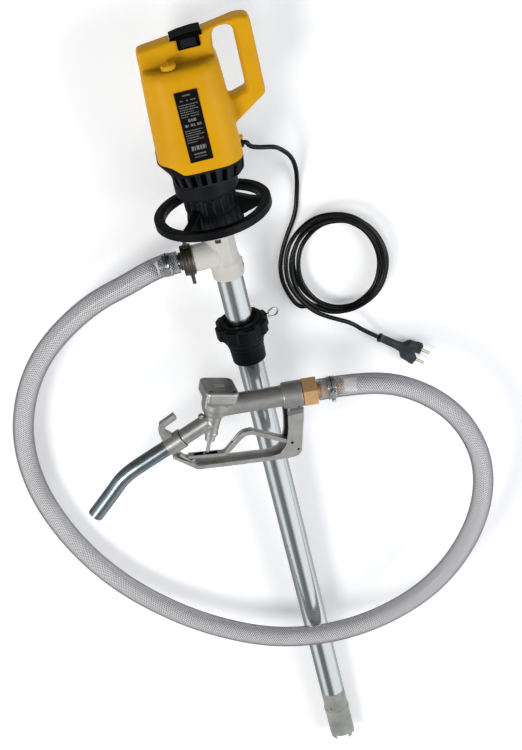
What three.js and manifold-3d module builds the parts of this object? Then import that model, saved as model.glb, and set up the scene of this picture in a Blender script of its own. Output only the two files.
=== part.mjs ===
// Electric drum barrel pump: motor with D handle, handwheel, immersion tube, bung adapter,
// clear delivery hose, trigger nozzle, mains cable and plug.
// Millimetres, +Z up along the pump axis, origin on that axis at the underside of the foot.
// The outlet branch points to -X, the D handle to +X, and the nozzle hangs on the -Y side.

import * as THREE from 'three';
import { mergeVertices } from 'three/addons/utils/BufferGeometryUtils.js';
import { ConvexGeometry } from 'three/addons/geometries/ConvexGeometry.js';
import Module from 'manifold-3d';

const wasm = await Module();
wasm.setup();

// ---------------------------------------------------------------- driving dimensions
const FINENESS = 0.5;            // scales the facet count of every turned piece
const MIN_FACETS = 8;
const GAP = 0.3;                 // running clearance between neighbouring pieces
const SLIP_FIT = 0.35;           // radial clearance of sliding fits

const FOOT_R = 21.25;
const FOOT_RING_Z = 60;
const TUBE_R = 20.5;
const TUBE_BORE_R = 19;
const TUBE_Z0 = 106;
const TUBE_Z1 = 972;
const GUIDE_R = 10;              // inner guide tube round the drive shaft
const GUIDE_BORE_R = 8.7;
const SHAFT_R = 4;
const BUSH_CLEARANCE = 0.6;      // radial, between shaft and bushes

const BRANCH_Z = 997;            // height of the outlet branch axis
const BRANCH_R = 20.5;
const HOSE_R = 16.8;
const HOSE_BORE_R = 12.9;
const COUPLING_R = 9.8;          // dog coupling between motor and shaft
const DOG_R = 9;                 // reach of its dogs
const DOG_HALF_WIDTH = 4;

const ADAPTER_Z0 = 807;          // bung adapter on the tube
const ADAPTER_SEAT_Z = 852;
const ADAPTER_Z1 = 879;
const ADAPTER_TURN = 15;         // degrees from +X to its first lug and the eye screw
const EYE_R = 8.4;               // centre radius of the ring on the eye screw
const EYE_UP = 0.94;             // how upright that ring stands

const WHEEL_R = 88;
const WHEEL_RIM_Z0 = 1060;
const WHEEL_RIM_Z1 = 1074;
const HUB_R = 38;
const HUB_BORE_R = 33;
const HUB_SEAT_Z = 1045.9;       // top of the hub floor
const SPIGOT_R = 32;             // motor spigot in the wheel hub

const BAND_R = 47;               // smooth band under the motor
const BAND_Z1 = 1124;
const SHELL_Z0 = 1151;           // lower edge of the motor shell
const SHELF_Z = 1303;            // shoulder beside the handle bridge
const BODY_HALF_Y = 56;
const BRIDGE_HALF_Y = 16;
const MOTOR_SHAFT_R = 5;
const ROTOR_BORE_R = MOTOR_SHAFT_R + SLIP_FIT;
const CORE_Z0 = 1172;            // stator and armature
const CORE_Z1 = 1222;

const CABLE_R = 3.6;
const CABLE_Z = 1158.6;          // height of the cable exit

const NOZZLE_Y = -66;            // centre plane of the nozzle
const BARREL_ORIGIN = [-40, NOZZLE_Y, 773.1];
const BARREL_TILT = 5.2;         // barrel falls towards the hose, degrees
const CAP_ORIGIN = [-54.5, NOZZLE_Y, 810.7];   // centre of the valve cap's top face
const STEM_TILT = 21.7;          // valve axis leans off the vertical, degrees
const CAP_TWIST = 0.158;         // Y part of the cap's X direction before it is squared up
const FRONT_ORIGIN = [-70, NOZZLE_Y, 760.2];   // start of the spout-side barrel
const FRONT_TILT = 22.2;         // degrees below -X
const CAP_HALF = 25.5;
const CAP_SCREW_OFFSET = 18.6;
const PIVOT = [32.4, NOZZLE_Y, 683.1];         // trigger pivot

// centre lines, [x, y, z]
const HOSE_PATH = [
  [-105, 0, 997], [-118, 2.2, 991.8], [-137.2, 6.2, 982.6], [-160, 9.5, 973.6], [-194.6, 13.5, 963.2],
  [-249.4, 20.8, 932.9], [-305, 27.7, 888], [-346, 31.6, 833.5], [-376.4, 34.6, 762],
  [-387.1, 34.3, 691.5], [-382.2, 32.1, 620.5], [-362.3, 28.2, 546.5], [-333.7, 20.9, 484.8],
  [-292.4, 11.8, 424.4], [-246.6, 1, 377.7], [-195.5, -12.3, 339.2], [-134.1, -26.9, 306.4],
  [-74, -37.4, 283.8], [-4.7, -42.5, 269.7], [60.2, -43.9, 268.4], [124.4, -44.5, 280.4],
  [190.5, -45.4, 308.9], [243.7, -46.6, 352.1], [289.5, -48.5, 415.2], [316.1, -51, 484.7],
  [321.3, -53.8, 560.8], [298.7, -57.1, 639.4], [257.9, -60.3, 697], [200.9, -63.7, 739.4],
  [133.3, -66, 757.3],
];
const CABLE_PATH = [
  [67.5, 0, CABLE_Z], [70.5, 0.5, 1157.2], [74.4, 3.2, 1149.3], [86.8, 11.6, 1140.4],
  [107.8, 23.6, 1130.5], [116.9, 37.6, 1119.4], [127.7, 51.9, 1102.5], [134.2, 65.1, 1084.1],
  [136.2, 75.5, 1062.7], [134.5, 82.2, 1042.1], [129.2, 83.5, 1017], [123.1, 82.1, 996.1],
  [115.5, 81, 980], [102.5, 79.7, 959.1], [87.4, 77.8, 930.1], [79.1, 75.8, 900.4],
  [81.5, 73.7, 867.4], [96.6, 71.5, 834.7], [115.7, 71.1, 831.7], [170, 68.7, 808.4],
  [222.7, 69.2, 829.9], [246.1, 71.8, 883.5], [229.4, 74.6, 940.3], [183.3, 75.7, 971.4],
  [132.1, 74.3, 962.5], [101.7, 70.5, 918.9], [107.8, 66, 863.4], [146.9, 62.6, 825.1],
  [197.8, 61.6, 824.6], [233.1, 63.2, 861.9], [234.9, 65.8, 916.1], [204, 67.7, 958.2],
  [157.2, 67.3, 967.4], [118.3, 64.6, 939.6], [106.4, 60.4, 889.3], [127.3, 56.5, 842.6],
  [169.3, 54.4, 823.7], [212.2, 54.7, 843.3], [232.5, 57, 892.1], [218.6, 59.5, 944.7],
  [176.9, 60.6, 974.3], [128.1, 59.1, 965.5], [97.1, 55.4, 922.1], [100.9, 50.8, 865.5],
  [139.6, 47.3, 825.9], [193.9, 46.4, 826.2], [233.5, 48.2, 867.5], [236.9, 51.2, 928],
  [202.4, 53.5, 976], [147.9, 53.3, 987.3], [101, 50.3, 955.6], [86.5, 45.5, 896.1],
  [114.1, 40.9, 839.1], [169.7, 43.2, 797.8], [183.7, 47.7, 780.5], [195.4, 52.5, 767.2],
  [207.8, 57.3, 753.8],
];

// ---------------------------------------------------------------- solids
const SNAPS_PER_MM = 500;
const SNAP_BIAS = 0.013;         // settles values that lie halfway between two snaps

// closed manifold from a geometry: snapped, welded and wound outwards
function solid(geometry) {
  geometry.deleteAttribute('normal');
  geometry.deleteAttribute('uv');
  const raw = geometry.attributes.position.array;
  for (let i = 0; i < raw.length; i++) {
    raw[i] = Math.round(raw[i] * SNAPS_PER_MM + SNAP_BIAS) / SNAPS_PER_MM;
  }
  const welded = mergeVertices(geometry, 1e-3);
  const position = welded.attributes.position;
  const index = welded.index.array;
  const corners = [0, 1, 2].map(() => new THREE.Vector3());
  const triangles = [];
  let volume = 0;
  for (let i = 0; i < index.length; i += 3) {
    const [a, b, c] = index.slice(i, i + 3);
    if (a === b || b === c || a === c) continue;
    triangles.push(a, b, c);
    [a, b, c].forEach((vertex, k) => corners[k].fromBufferAttribute(position, vertex));
    volume += corners[0].dot(corners[1].cross(corners[2]));
  }
  if (volume < 0) {
    for (let i = 0; i < triangles.length; i += 3) {
      [triangles[i + 1], triangles[i + 2]] = [triangles[i + 2], triangles[i + 1]];
    }
  }
  return new wasm.Manifold(new wasm.Mesh({
    numProp: 3,
    vertProperties: new Float32Array(position.array),
    triVerts: new Uint32Array(triangles),
  }));
}

const fuse = (...parts) => parts.reduce((sum, part) => sum.add(part));
const cut = (body, ...tools) => tools.reduce((rest, tool) => rest.subtract(tool), body);
const times = (count, make) => Array.from({ length: count }, (_, i) => make(i));

const radians = (degrees) => (degrees * Math.PI) / 180;
const rotZ = (degrees) => new THREE.Matrix4().makeRotationZ(radians(degrees));
const shift = (x, y) => new THREE.Matrix4().makeTranslation(x, y, 0);
const shifted = (frame, x, y) => frame.clone().multiply(shift(x, y));
const along = (origin, dir, distance) => origin.map((value, k) => value + dir[k] * distance);

// frame whose local Z runs along dir; local X is kept near hint
function frameAt(origin, dir, hint = [0, 1, 0]) {
  const z = new THREE.Vector3(...dir).normalize();
  const near = new THREE.Vector3(...hint);
  const x = near.clone().addScaledVector(z, -near.dot(z)).normalize();
  const y = new THREE.Vector3().crossVectors(z, x);
  return new THREE.Matrix4().makeBasis(x, y, z).setPosition(...origin);
}

// turned piece: profile of [radius, z] points; closed profiles make rings
function turned(profile, segments, closed = true, matrix = null) {
  const points = profile.map(([r, z]) => new THREE.Vector2(r, z));
  if (closed) points.push(points[0].clone());
  const facets = Math.max(MIN_FACETS, 2 * Math.round((segments * FINENESS) / 2));
  const geometry = new THREE.LatheGeometry(points, facets);
  geometry.rotateX(Math.PI / 2);
  if (matrix) geometry.applyMatrix4(matrix);
  return solid(geometry);
}

function ring(r0, r1, z0, z1, segments, matrix = null) {
  return turned([[r0, z0], [r1, z0], [r1, z1], [r0, z1]], segments, true, matrix);
}

function rod(r, z0, z1, segments, matrix = null) {
  return turned([[0, z0], [r, z0], [r, z1], [0, z1]], segments, false, matrix);
}

// outline counter-clockwise, holes clockwise
function shapeOf(points, holes = []) {
  const wound = (outline, clockwise) => {
    const v = outline.map(([x, y]) => new THREE.Vector2(x, y));
    return THREE.ShapeUtils.isClockWise(v) === clockwise ? v : v.reverse();
  };
  const shape = new THREE.Shape(wound(points, false));
  for (const hole of holes) shape.holes.push(new THREE.Path(wound(hole, true)));
  return shape;
}

function extrusion(points, holes, depth) {
  return new THREE.ExtrudeGeometry(shapeOf(points, holes), { depth, bevelEnabled: false });
}

// prism over an outline in the XY plane
function prismXY(points, z0, z1, matrix = null, holes = []) {
  const geometry = extrusion(points, holes, z1 - z0);
  geometry.translate(0, 0, z0);
  if (matrix) geometry.applyMatrix4(matrix);
  return solid(geometry);
}

// prism over an outline in the XZ plane
function prismXZ(points, y0, y1, matrix = null, holes = []) {
  const geometry = extrusion(points, holes, y1 - y0);
  geometry.rotateX(Math.PI / 2);
  geometry.translate(0, y1, 0);
  if (matrix) geometry.applyMatrix4(matrix);
  return solid(geometry);
}

// prism in the XZ plane, centred on the nozzle plane
function nozzlePlate(points, halfWidth) {
  return prismXZ(points, NOZZLE_Y - halfWidth, NOZZLE_Y + halfWidth);
}

function box(x0, x1, y0, y1, z0, z1, matrix = null) {
  const geometry = new THREE.BoxGeometry(x1 - x0, y1 - y0, z1 - z0);
  geometry.translate((x0 + x1) / 2, (y0 + y1) / 2, (z0 + z1) / 2);
  if (matrix) geometry.applyMatrix4(matrix);
  return solid(geometry);
}

function circle(r, count, phase = 0) {
  return times(count, (i) => {
    const angle = phase + (i / count) * Math.PI * 2;
    return [r * Math.cos(angle), r * Math.sin(angle)];
  });
}

// toothed outline; steps are [fraction of one pitch, radius]
function toothed(count, steps) {
  const pitch = (2 * Math.PI) / count;
  return times(count, (i) => steps.map(([fraction, r]) => {
    const angle = (i + fraction) * pitch;
    return [r * Math.cos(angle), r * Math.sin(angle)];
  })).flat();
}

// tube, or rod when bore is 0, swept along a smooth path
function swept(points, r, bore, steps, sides) {
  const vectors = points.map((p) => new THREE.Vector3(...p));
  const extrudePath = new THREE.CatmullRomCurve3(vectors, false, 'centripetal');
  const shape = shapeOf(circle(r, sides), bore ? [circle(bore, sides)] : []);
  return solid(new THREE.ExtrudeGeometry(shape, { steps, extrudePath, bevelEnabled: false }));
}

// n is the number of facets in each corner
function roundedRect(x0, x1, halfY, r, n) {
  const corners = [
    [x1 - r, halfY - r, 0], [x0 + r, halfY - r, 90], [x0 + r, r - halfY, 180], [x1 - r, r - halfY, 270],
  ];
  return corners.flatMap(([cx, cy, start]) => times(n + 1, (i) => {
    const angle = radians(start + (90 * i) / n);
    return [cx + r * Math.cos(angle), cy + r * Math.sin(angle)];
  }));
}

const roundedPlate = (halfX, halfY, r, z0, z1, matrix) =>
  prismXY(roundedRect(-halfX, halfX, halfY, r, 3), z0, z1, matrix);

// convex body through a stack of rounded rectangles: [z, x0, x1, halfY, corner radius]
function hull(sections, n) {
  const points = sections.flatMap(([z, x0, x1, halfY, r]) =>
    roundedRect(x0, x1, halfY, r, n).map(([x, y]) => new THREE.Vector3(x, y, z)));
  return solid(new ConvexGeometry(points));
}

// ---------------------------------------------------------------- scene graph
const group = new THREE.Group();
group.name = 'drum_barrel_pump';

const SIMPLIFY_TOLERANCE = 0.004;

function add(name, body, finish) {
  const { vertProperties, triVerts } = body.simplify(SIMPLIFY_TOLERANCE).getMesh();
  const geometry = new THREE.BufferGeometry();
  geometry.setAttribute('position', new THREE.BufferAttribute(new Float32Array(vertProperties), 3));
  geometry.setIndex(new THREE.BufferAttribute(new Uint32Array(triVerts), 1));
  geometry.computeVertexNormals();
  const mesh = new THREE.Mesh(geometry, new THREE.MeshStandardMaterial(finish));
  mesh.name = name;
  group.add(mesh);
}

// finishes shared by several pieces
const BUSH_PLASTIC = { color: 0xe8e4da, roughness: 0.5 };
const COUPLING_PLASTIC = { color: 0x35383b, roughness: 0.5 };
const BRUSH_CARBON = { color: 0x2c2c2e, roughness: 0.8 };
const SHAFT_STEEL = { color: 0xc8ccd0, roughness: 0.25, metalness: 1 };
const BEARING_STEEL = { color: 0xbfc3c7, roughness: 0.25, metalness: 1 };
const CLAMP_STEEL = { color: 0xb6b8ba, roughness: 0.25, metalness: 1 };
const CLAMP_SCREW_STEEL = { color: 0x9fa2a5, roughness: 0.3, metalness: 1 };
const CAP_SCREW_STEEL = { color: 0x77797b, roughness: 0.3, metalness: 1 };
const PIN_METAL = { color: 0xc9ccce, roughness: 0.2, metalness: 1 };
const NOZZLE_METAL = { color: 0x8c8a87, roughness: 0.42, metalness: 0.9 };

// ---------------------------------------------------------------- shared frames
const BARREL_AXIS = [Math.cos(radians(BARREL_TILT)), 0, -Math.sin(radians(BARREL_TILT))];
const STEM_AXIS = [Math.sin(radians(STEM_TILT)), 0, Math.cos(radians(STEM_TILT))];
const FRONT_AXIS = [-Math.cos(radians(FRONT_TILT)), 0, -Math.sin(radians(FRONT_TILT))];

const BRANCH = frameAt([0, 0, BRANCH_Z], [-1, 0, 0], [0, 0, 1]);   // z outwards along -X
const CABLE_EXIT = frameAt([0, 0, CABLE_Z], [1, 0, 0]);            // z outwards along +X
const EYE = frameAt([0, 0, 868],
  [Math.cos(radians(ADAPTER_TURN)), Math.sin(radians(ADAPTER_TURN)), 0], [0, 0, 1]);
const KNOB = shift(-12, -32);
const BARREL = frameAt(BARREL_ORIGIN, BARREL_AXIS);                // z towards the hose
const STEM = frameAt(CAP_ORIGIN, STEM_AXIS, [STEM_AXIS[2], CAP_TWIST, -STEM_AXIS[0]]);
const FRONT = frameAt(FRONT_ORIGIN, FRONT_AXIS);                   // z towards the spout
const PIVOT_FRAME = frameAt(PIVOT, [0, 1, 0], [1, 0, 0]);

// ================================================================ immersion tube
// foot with a castellated mouth, a raised ring, a spigot in the tube and a guide tube spider
function suctionFoot() {
  const shellProfile = [
    [17.3, 0], [FOOT_R, 0], [FOOT_R, FOOT_RING_Z - 1], [FOOT_R + 0.9, FOOT_RING_Z],
    [FOOT_R + 0.9, 65], [TUBE_R, 66.5], [TUBE_R, TUBE_Z0 - GAP],
    [TUBE_BORE_R - 0.4, TUBE_Z0 - GAP], [TUBE_BORE_R - 0.4, 126], [16.3, 126], [16.3, 82], [17.3, 78],
  ];
  const body = fuse(
    turned(shellProfile, 32),
    ring(4.7, 13, 78.5, 81.5, 16),
    ring(GUIDE_R + SLIP_FIT, 13, 81, 100, 16),
    ...[30, 150, 270].map((angle) => box(12, 17.6, -1.5, 1.5, 84, 96, rotZ(angle))),
  );
  return cut(
    body,
    // mouth openings at -Y, +Y and -X, then a narrow slot inside the wall
    box(-12, 8, -25, -10, -1, 8),
    box(-8, 8, 10, 25, -1, 8),
    box(-25, -10, -5, 5, -1, 6),
    box(-25, -15, -0.9, 0.9, 70, 78.2, rotZ(58)),
  );
}
add('suction_foot', suctionFoot(), { color: 0xc9c6bd, roughness: 0.55 });
add('outer_tube', ring(TUBE_BORE_R, TUBE_R, TUBE_Z0, TUBE_Z1, 32),
  { color: 0xb9bec3, roughness: 0.25, metalness: 1 });
add('inner_guide_tube', ring(GUIDE_BORE_R, GUIDE_R, 82, 1018, 16),
  { color: 0xb0b4b8, roughness: 0.35, metalness: 1 });
for (const [name, z0, z1] of [['lower_shaft_bush', 82.5, 100], ['upper_shaft_bush', 1000, 1016]]) {
  add(name, ring(SHAFT_R + BUSH_CLEARANCE, GUIDE_BORE_R - 0.4, z0, z1, 16), BUSH_PLASTIC);
}
add('drive_shaft', rod(SHAFT_R, 36, 1045, 12), SHAFT_STEEL);

// rotor vane: a thin box twisted about the shaft
function rotorVane(startAngle) {
  const height = 28;
  const midZ = 56;
  const twist = 1.5;             // radians over the height
  const geometry = new THREE.BoxGeometry(9.2, 2, height, 1, 1, 6);
  geometry.translate(10.6, 0, midZ);
  const position = geometry.attributes.position;
  for (let i = 0; i < position.count; i++) {
    const angle = ((position.getZ(i) - midZ) / height) * twist + startAngle;
    const x = position.getX(i);
    const y = position.getY(i);
    position.setXY(i, x * Math.cos(angle) - y * Math.sin(angle), x * Math.sin(angle) + y * Math.cos(angle));
  }
  return solid(geometry);
}
add('pump_rotor',
  fuse(ring(SHAFT_R + GAP, 7, 40, 72, 16), ...times(3, (k) => rotorVane((k * 2 * Math.PI) / 3))),
  { color: 0x9a9fa4, roughness: 0.4, metalness: 1 });

function coupling(boreR, z0, z1, dogR0, dogZ0, dogZ1, angles) {
  const dogs = angles.map((angle) =>
    box(dogR0, DOG_R, -DOG_HALF_WIDTH, DOG_HALF_WIDTH, dogZ0, dogZ1, rotZ(angle)));
  return fuse(ring(boreR, COUPLING_R, z0, z1, 20), ...dogs);
}
add('driven_coupling', coupling(SHAFT_R + GAP, 1041.3, 1049.5, 4.8, 1049, 1057, [0, 180]),
  COUPLING_PLASTIC);

// ================================================================ outlet
// housing: tube socket, barrel, side branch with a reduced end, flange under the motor
function outletHousing() {
  const barrelProfile = [
    [0, 956], [24, 956], [24.4, 958], [24.4, 982], [21.6, 987], [21.1, 1036], [21.1, 1046.2],
    [29, 1046.2], [29, 1052], [21, 1052], [20.4, 1061], [0, 1061],
  ];
  return cut(
    fuse(
      turned(barrelProfile, 32, false),
      rod(BRANCH_R, 0, 45.6, 32, BRANCH),
      rod(18.8, 45, 56, 32, BRANCH),
    ),
    rod(TUBE_R + SLIP_FIT, 955, TUBE_Z1 + GAP, 32),
    rod(17.6, 970, 1013, 24),
    rod(GUIDE_R + SLIP_FIT, 1010, 1018.4, 16),
    rod(13.9, 1019.5, 1041, 20),
    rod(8.2, 1018, 1020, 16),
    rod(16.8, 1040.5, 1062, 24),
    rod(14.2, 10, 57, 24, BRANCH),
  );
}
add('outlet_housing', outletHousing(), { color: 0xe6e1d6, roughness: 0.45 });
add('shaft_seal', ring(SHAFT_R + 0.25, 13.5, 1020, 1027, 20), { color: 0x26282a, roughness: 0.7 });
add('shaft_bearing', ring(SHAFT_R + GAP, 13.5, 1028, 1037, 20), BEARING_STEEL);

// union nut with a lug above and a lug below
const NUT_PROFILE = [
  [19.2, 46], [22.8, 46], [23.4, 47.2], [23.4, 61.6], [22.6, 63], [14.4, 63], [14.4, 60.3], [19.2, 60.3],
];
add('union_nut',
  fuse(
    turned(NUT_PROFILE, 32, true, BRANCH),
    ...[[-40.8, -22.4], [22.4, 40.8]].map(([x0, x1]) => box(x0, x1, -4, 4, 50, 56, BRANCH)),
  ),
  { color: 0x5b4f45, roughness: 0.4, metalness: 1 });

const HOSE_TAIL_PROFILE = [
  [9.5, 58.2], [18, 58.2], [18, 60], [13.9, 60], [13.9, 67], [11.4, 67],
  ...times(3, (i) => [[10.7, 71 + i * 9.5], [11.8, 71.6 + i * 9.5], [10.7, 79 + i * 9.5]]).flat(),
  [10.7, 99], [9.5, 99],
];
add('outlet_hose_tail', turned(HOSE_TAIL_PROFILE, 20, true, BRANCH),
  { color: 0x8d8f90, roughness: 0.3, metalness: 1 });

// worm-drive hose clamp; frame z runs along the hose, the screw housing sits at local -y
function addHoseClamp(place, frame) {
  const screwFrame = frame.clone().multiply(frameAt([0, -HOSE_R - 4.8, 0], [1, 0, 0]));
  const band = fuse(
    ring(HOSE_R + 0.7, HOSE_R + 1.7, -5.5, 5.5, 24, frame),
    box(-7, 7, -HOSE_R - 8.5, -HOSE_R - 0.6, -5, 5, frame),
  );
  const screw = fuse(rod(2.5, -9, 7.6, 12, screwFrame), rod(3.6, 7.6, 11.6, 6, screwFrame));
  const slot = box(-4, 4, -0.5, 0.5, 10.6, 12, screwFrame);
  add(`${place}_hose_clamp`, cut(band, rod(2.9, -8, 8, 12, screwFrame)), CLAMP_STEEL);
  add(`${place}_clamp_screw`, cut(screw, slot), CLAMP_SCREW_STEEL);
}
addHoseClamp('outlet', frameAt([-86, 0, BRANCH_Z], [-1, 0, 0], [0, 0, 1]));

// delivery hose with a straight sleeve over each tail
add('delivery_hose',
  fuse(
    swept(HOSE_PATH, HOSE_R, HOSE_BORE_R, 38, 8),
    ring(HOSE_BORE_R, HOSE_R, 68.3, 105.6, 20, BRANCH),
    ring(HOSE_BORE_R, HOSE_R, 130.5, 174.2, 20, BARREL),
  ),
  { color: 0xd9d4d6, roughness: 0.2 });

// ================================================================ bung adapter
function bungAdapter() {
  const boreR = TUBE_R + 0.45;
  const profile = [
    [boreR, ADAPTER_Z0], [26, ADAPTER_Z0], [26.4, 831], [28, 834], [28.4, 842], [31.6, 843.5],
    [31.6, ADAPTER_SEAT_Z], [36.5, ADAPTER_SEAT_Z], [38, 856], [38, 872], [34, ADAPTER_Z1],
    [boreR, ADAPTER_Z1],
  ];
  const lugs = times(8, (k) => box(36, 41.5, -5.5, 5.5, 857, 873, rotZ(k * 45 + ADAPTER_TURN)));
  return cut(fuse(turned(profile, 32), ...lugs), rod(3.4, 15, 45, 12, EYE));
}
add('bung_adapter', bungAdapter(), { color: 0x1b1d1f, roughness: 0.5 });

// screw with an almost closed ring on its outer end
function eyeScrew() {
  const sideways = Math.sqrt(1 - EYE_UP * EYE_UP);
  const loop = times(17, (i) => {
    const angle = Math.PI + (i / 16) * Math.PI * 1.82;
    const across = EYE_R * Math.sin(angle);
    const outward = 44.8 + EYE_R + EYE_R * Math.cos(angle);
    return new THREE.Vector3(across * EYE_UP, across * sideways, outward).applyMatrix4(EYE).toArray();
  });
  return fuse(rod(3, 21.4, 45, 12, EYE), swept(loop, 1.6, 0, 16, 6));
}
add('clamp_eye_screw', eyeScrew(), { color: 0xb9bcbf, roughness: 0.3, metalness: 1 });

// ================================================================ handwheel
function handwheel() {
  const rimProfile = [
    [74, 1062], [75.5, WHEEL_RIM_Z0], [86.3, WHEEL_RIM_Z0], [WHEEL_R, 1062], [WHEEL_R, 1071],
    [86, WHEEL_RIM_Z1], [78.5, WHEEL_RIM_Z1], [76.8, 1071.6], [72.6, 1071.6], [72.6, 1063],
  ];
  const hubProfile = [
    [22.6, 1040], [41.5, 1040], [36.6, 1072], [36.6, 1076], [HUB_BORE_R, 1076],
    [HUB_BORE_R, HUB_SEAT_Z], [22.6, HUB_SEAT_Z],
  ];
  const collarSteps = [[0, HUB_R - 0.6], [0.5, HUB_R - 0.6], [0.5, HUB_R + 1], [1, HUB_R + 1]];
  const spoke = [[35, 1050], [40, 1050], [74.5, 1061.5], [76, 1069.5], [35, 1086]];   // [x, z]
  return cut(
    fuse(
      turned(rimProfile, 48),
      turned(hubProfile, 32),
      prismXY(toothed(16, collarSteps), WHEEL_RIM_Z1, 1099),
      ...[-127, -4, 114].map((angle) => prismXZ(spoke, -3.5, 3.5, rotZ(angle))),
    ),
    rod(HUB_BORE_R, HUB_SEAT_Z, 1101, 32),
  );
}
add('handwheel', handwheel(), { color: 0x17191b, roughness: 0.5 });

// ================================================================ motor housing
// spigot, smooth band and lower bearing seat
const FLANGE_PROFILE = [
  [21.6, 1052.4], [SPIGOT_R, 1052.4], [SPIGOT_R, 1101.5], [BAND_R - 3, 1101.5], [BAND_R, 1104.5],
  [BAND_R, BAND_Z1], [14.6, BAND_Z1], [14.6, 1107.5], [9, 1107.5], [9, 1101], [21.6, 1096],
];
add('motor_flange', turned(FLANGE_PROFILE, 36), { color: 0x1d1f22, roughness: 0.45 });

// vent base under the shell, open slots all round
function ventBase() {
  const slotCount = 14;
  const outer = hull([
    [BAND_Z1 + GAP, -44.5, 56, 46.5, 40], [1130, -45.5, 60, 49, 40], [1150.7, -47.5, 62, 53, 36],
  ], 5);
  const inner = hull([
    [1127.3, -40.5, 52, 42.5, 36], [1131, -41.5, 56, 45, 36], [1151.2, -43.5, 58, 49, 32],
  ], 5);
  const slots = times(slotCount, (i) =>
    box(30, 75, -4.2, 4.2, 1132.5, 1143.5, rotZ((i * 360) / slotCount + 11)));
  return cut(outer, inner, rod(17, 1120, 1130, 24), ...slots);
}
add('vent_base', ventBase(), { color: 0x1d1f22, roughness: 0.5 });

// D handle and bridge in side view, [x, z]
const HANDLE_OUTLINE = [
  [-52, 1285], [-52, 1320], [-51, 1327], [-47, 1331.5], [-40, 1333.5], [0, 1337], [50, 1341.5],
  [80, 1347], [92, 1348.3], [103, 1345.5], [110.5, 1338], [113.3, 1328], [113.3, 1234],
  [110.5, 1228], [62, 1196], [56, 1190], [40, 1200], [40, 1285],
];
const HANDLE_OPENING = [
  [55, 1320], [60, 1331], [70, 1337.5], [82, 1337], [87.5, 1331], [87.5, 1242], [84, 1240],
  [63, 1235], [59.5, 1240], [54, 1305],
];

// shell with shoulder, handle bridge and D handle in one moulding
function motorShell() {
  const halfY = BODY_HALF_Y;
  const outer = hull([
    [SHELL_Z0, -46, 62.2, halfY - 1.5, 34], [1169, -59.8, 62.1, halfY, 36],
    [1244, -56.2, 60.3, halfY, 36], [1290, -53.2, 58.4, halfY - 2, 35],
    [1299, -51.4, 56.8, halfY - 5, 33], [SHELF_Z, -48, 53, halfY - 9, 29],
  ], 5);
  const cavity = hull([
    [SHELL_Z0 - 1, -42.5, 58.4, halfY - 5, 31], [1169, -56, 58.3, halfY - 4, 33],
    [1244, -52.6, 56.6, halfY - 4, 33], [1288, -49.6, 54.8, halfY - 6, 32],
    [1298.5, -46, 51, halfY - 11, 27],
  ], 3);
  return cut(
    fuse(
      outer,
      prismXZ(HANDLE_OUTLINE, -BRIDGE_HALF_Y, BRIDGE_HALF_Y, null, [HANDLE_OPENING]),
      box(58, 67.5, -5, 5, 1166, 1170.5),    // tab above the cable exit
    ),
    cavity,
    box(-2.3, 44.3, -20, 20, 1318, 1350),    // switch recess and the well below it
    box(8, 38, -9, 9, 1290, 1325),
    rod(3.5, 1290, 1310, 12, KNOB),
    rod(6, 50, 70, 16, CABLE_EXIT),
  );
}
add('motor_shell', motorShell(), { color: 0xf0ab12, roughness: 0.42 });
add('rating_label', box(-14, 19, -BODY_HALF_Y - 0.9, -BODY_HALF_Y - 0.31, 1170, 1276),
  { color: 0x17181a, roughness: 0.5 });

// ================================================================ motor internals
add('stator_core', ring(27, 42, CORE_Z0, CORE_Z1, 28),
  { color: 0x6f7377, roughness: 0.5, metalness: 1 });
add('motor_shaft', rod(MOTOR_SHAFT_R, 1062, 1288, 12), SHAFT_STEEL);
const ARMATURE_OUTLINE = toothed(12, [[0, 26], [0.72, 26], [0.78, 19], [0.94, 19]]);
add('armature_core', prismXY(ARMATURE_OUTLINE, CORE_Z0, CORE_Z1, null, [circle(ROTOR_BORE_R, 12)]),
  { color: 0x7b7f83, roughness: 0.5, metalness: 1 });
add('commutator', ring(ROTOR_BORE_R, 14, 1236, 1258, 24),
  { color: 0xb87333, roughness: 0.35, metalness: 1 });
for (const [name, x0, x1] of [['brush_left', -38, -14.4], ['brush_right', 14.4, 38]]) {
  add(name, box(x0, x1, -4, 4, 1243, 1252), BRUSH_CARBON);
}
add('motor_bearing_lower', ring(MOTOR_SHAFT_R + GAP, 14.2, 1107.9, 1118, 20), BEARING_STEEL);
add('motor_bearing_upper', ring(MOTOR_SHAFT_R + GAP, 11, 1270, 1279, 20), BEARING_STEEL);
const BRACKET_PROFILE = [
  [11.7, 1268], [46, 1268], [46, 1272], [15, 1272], [15, 1281], [11.7, 1281],
];
add('bearing_bracket', turned(BRACKET_PROFILE, 24), { color: 0x8f9397, roughness: 0.4, metalness: 1 });
add('cooling_fan',
  fuse(
    ring(ROTOR_BORE_R, 10, 1128.5, 1140, 16),
    ring(9, 38, 1128.5, 1130.5, 32),
    ...times(9, (i) => box(9.5, 37, -0.9, 0.9, 1130, 1139, rotZ(i * 40))),
  ),
  { color: 0x2a2c2e, roughness: 0.6 });
add('drive_coupling', coupling(ROTOR_BORE_R, 1058.3, 1068, 5.6, 1050, 1058.8, [90, 270]),
  COUPLING_PLASTIC);

// ================================================================ controls
const KNOB_PROFILE = [
  [0, 1294.3], [3, 1294.3], [3, SHELF_Z + 0.4], [10.6, SHELF_Z + 0.4], [10.6, 1309.5],
  [9.4, 1311.2], [0, 1311.2],
];
add('speed_knob',
  fuse(turned(KNOB_PROFILE, 20, false, KNOB), box(-1.4, 1.4, -9, 9, 1311, 1313, KNOB)),
  { color: 0xe7a317, roughness: 0.45 });

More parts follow.
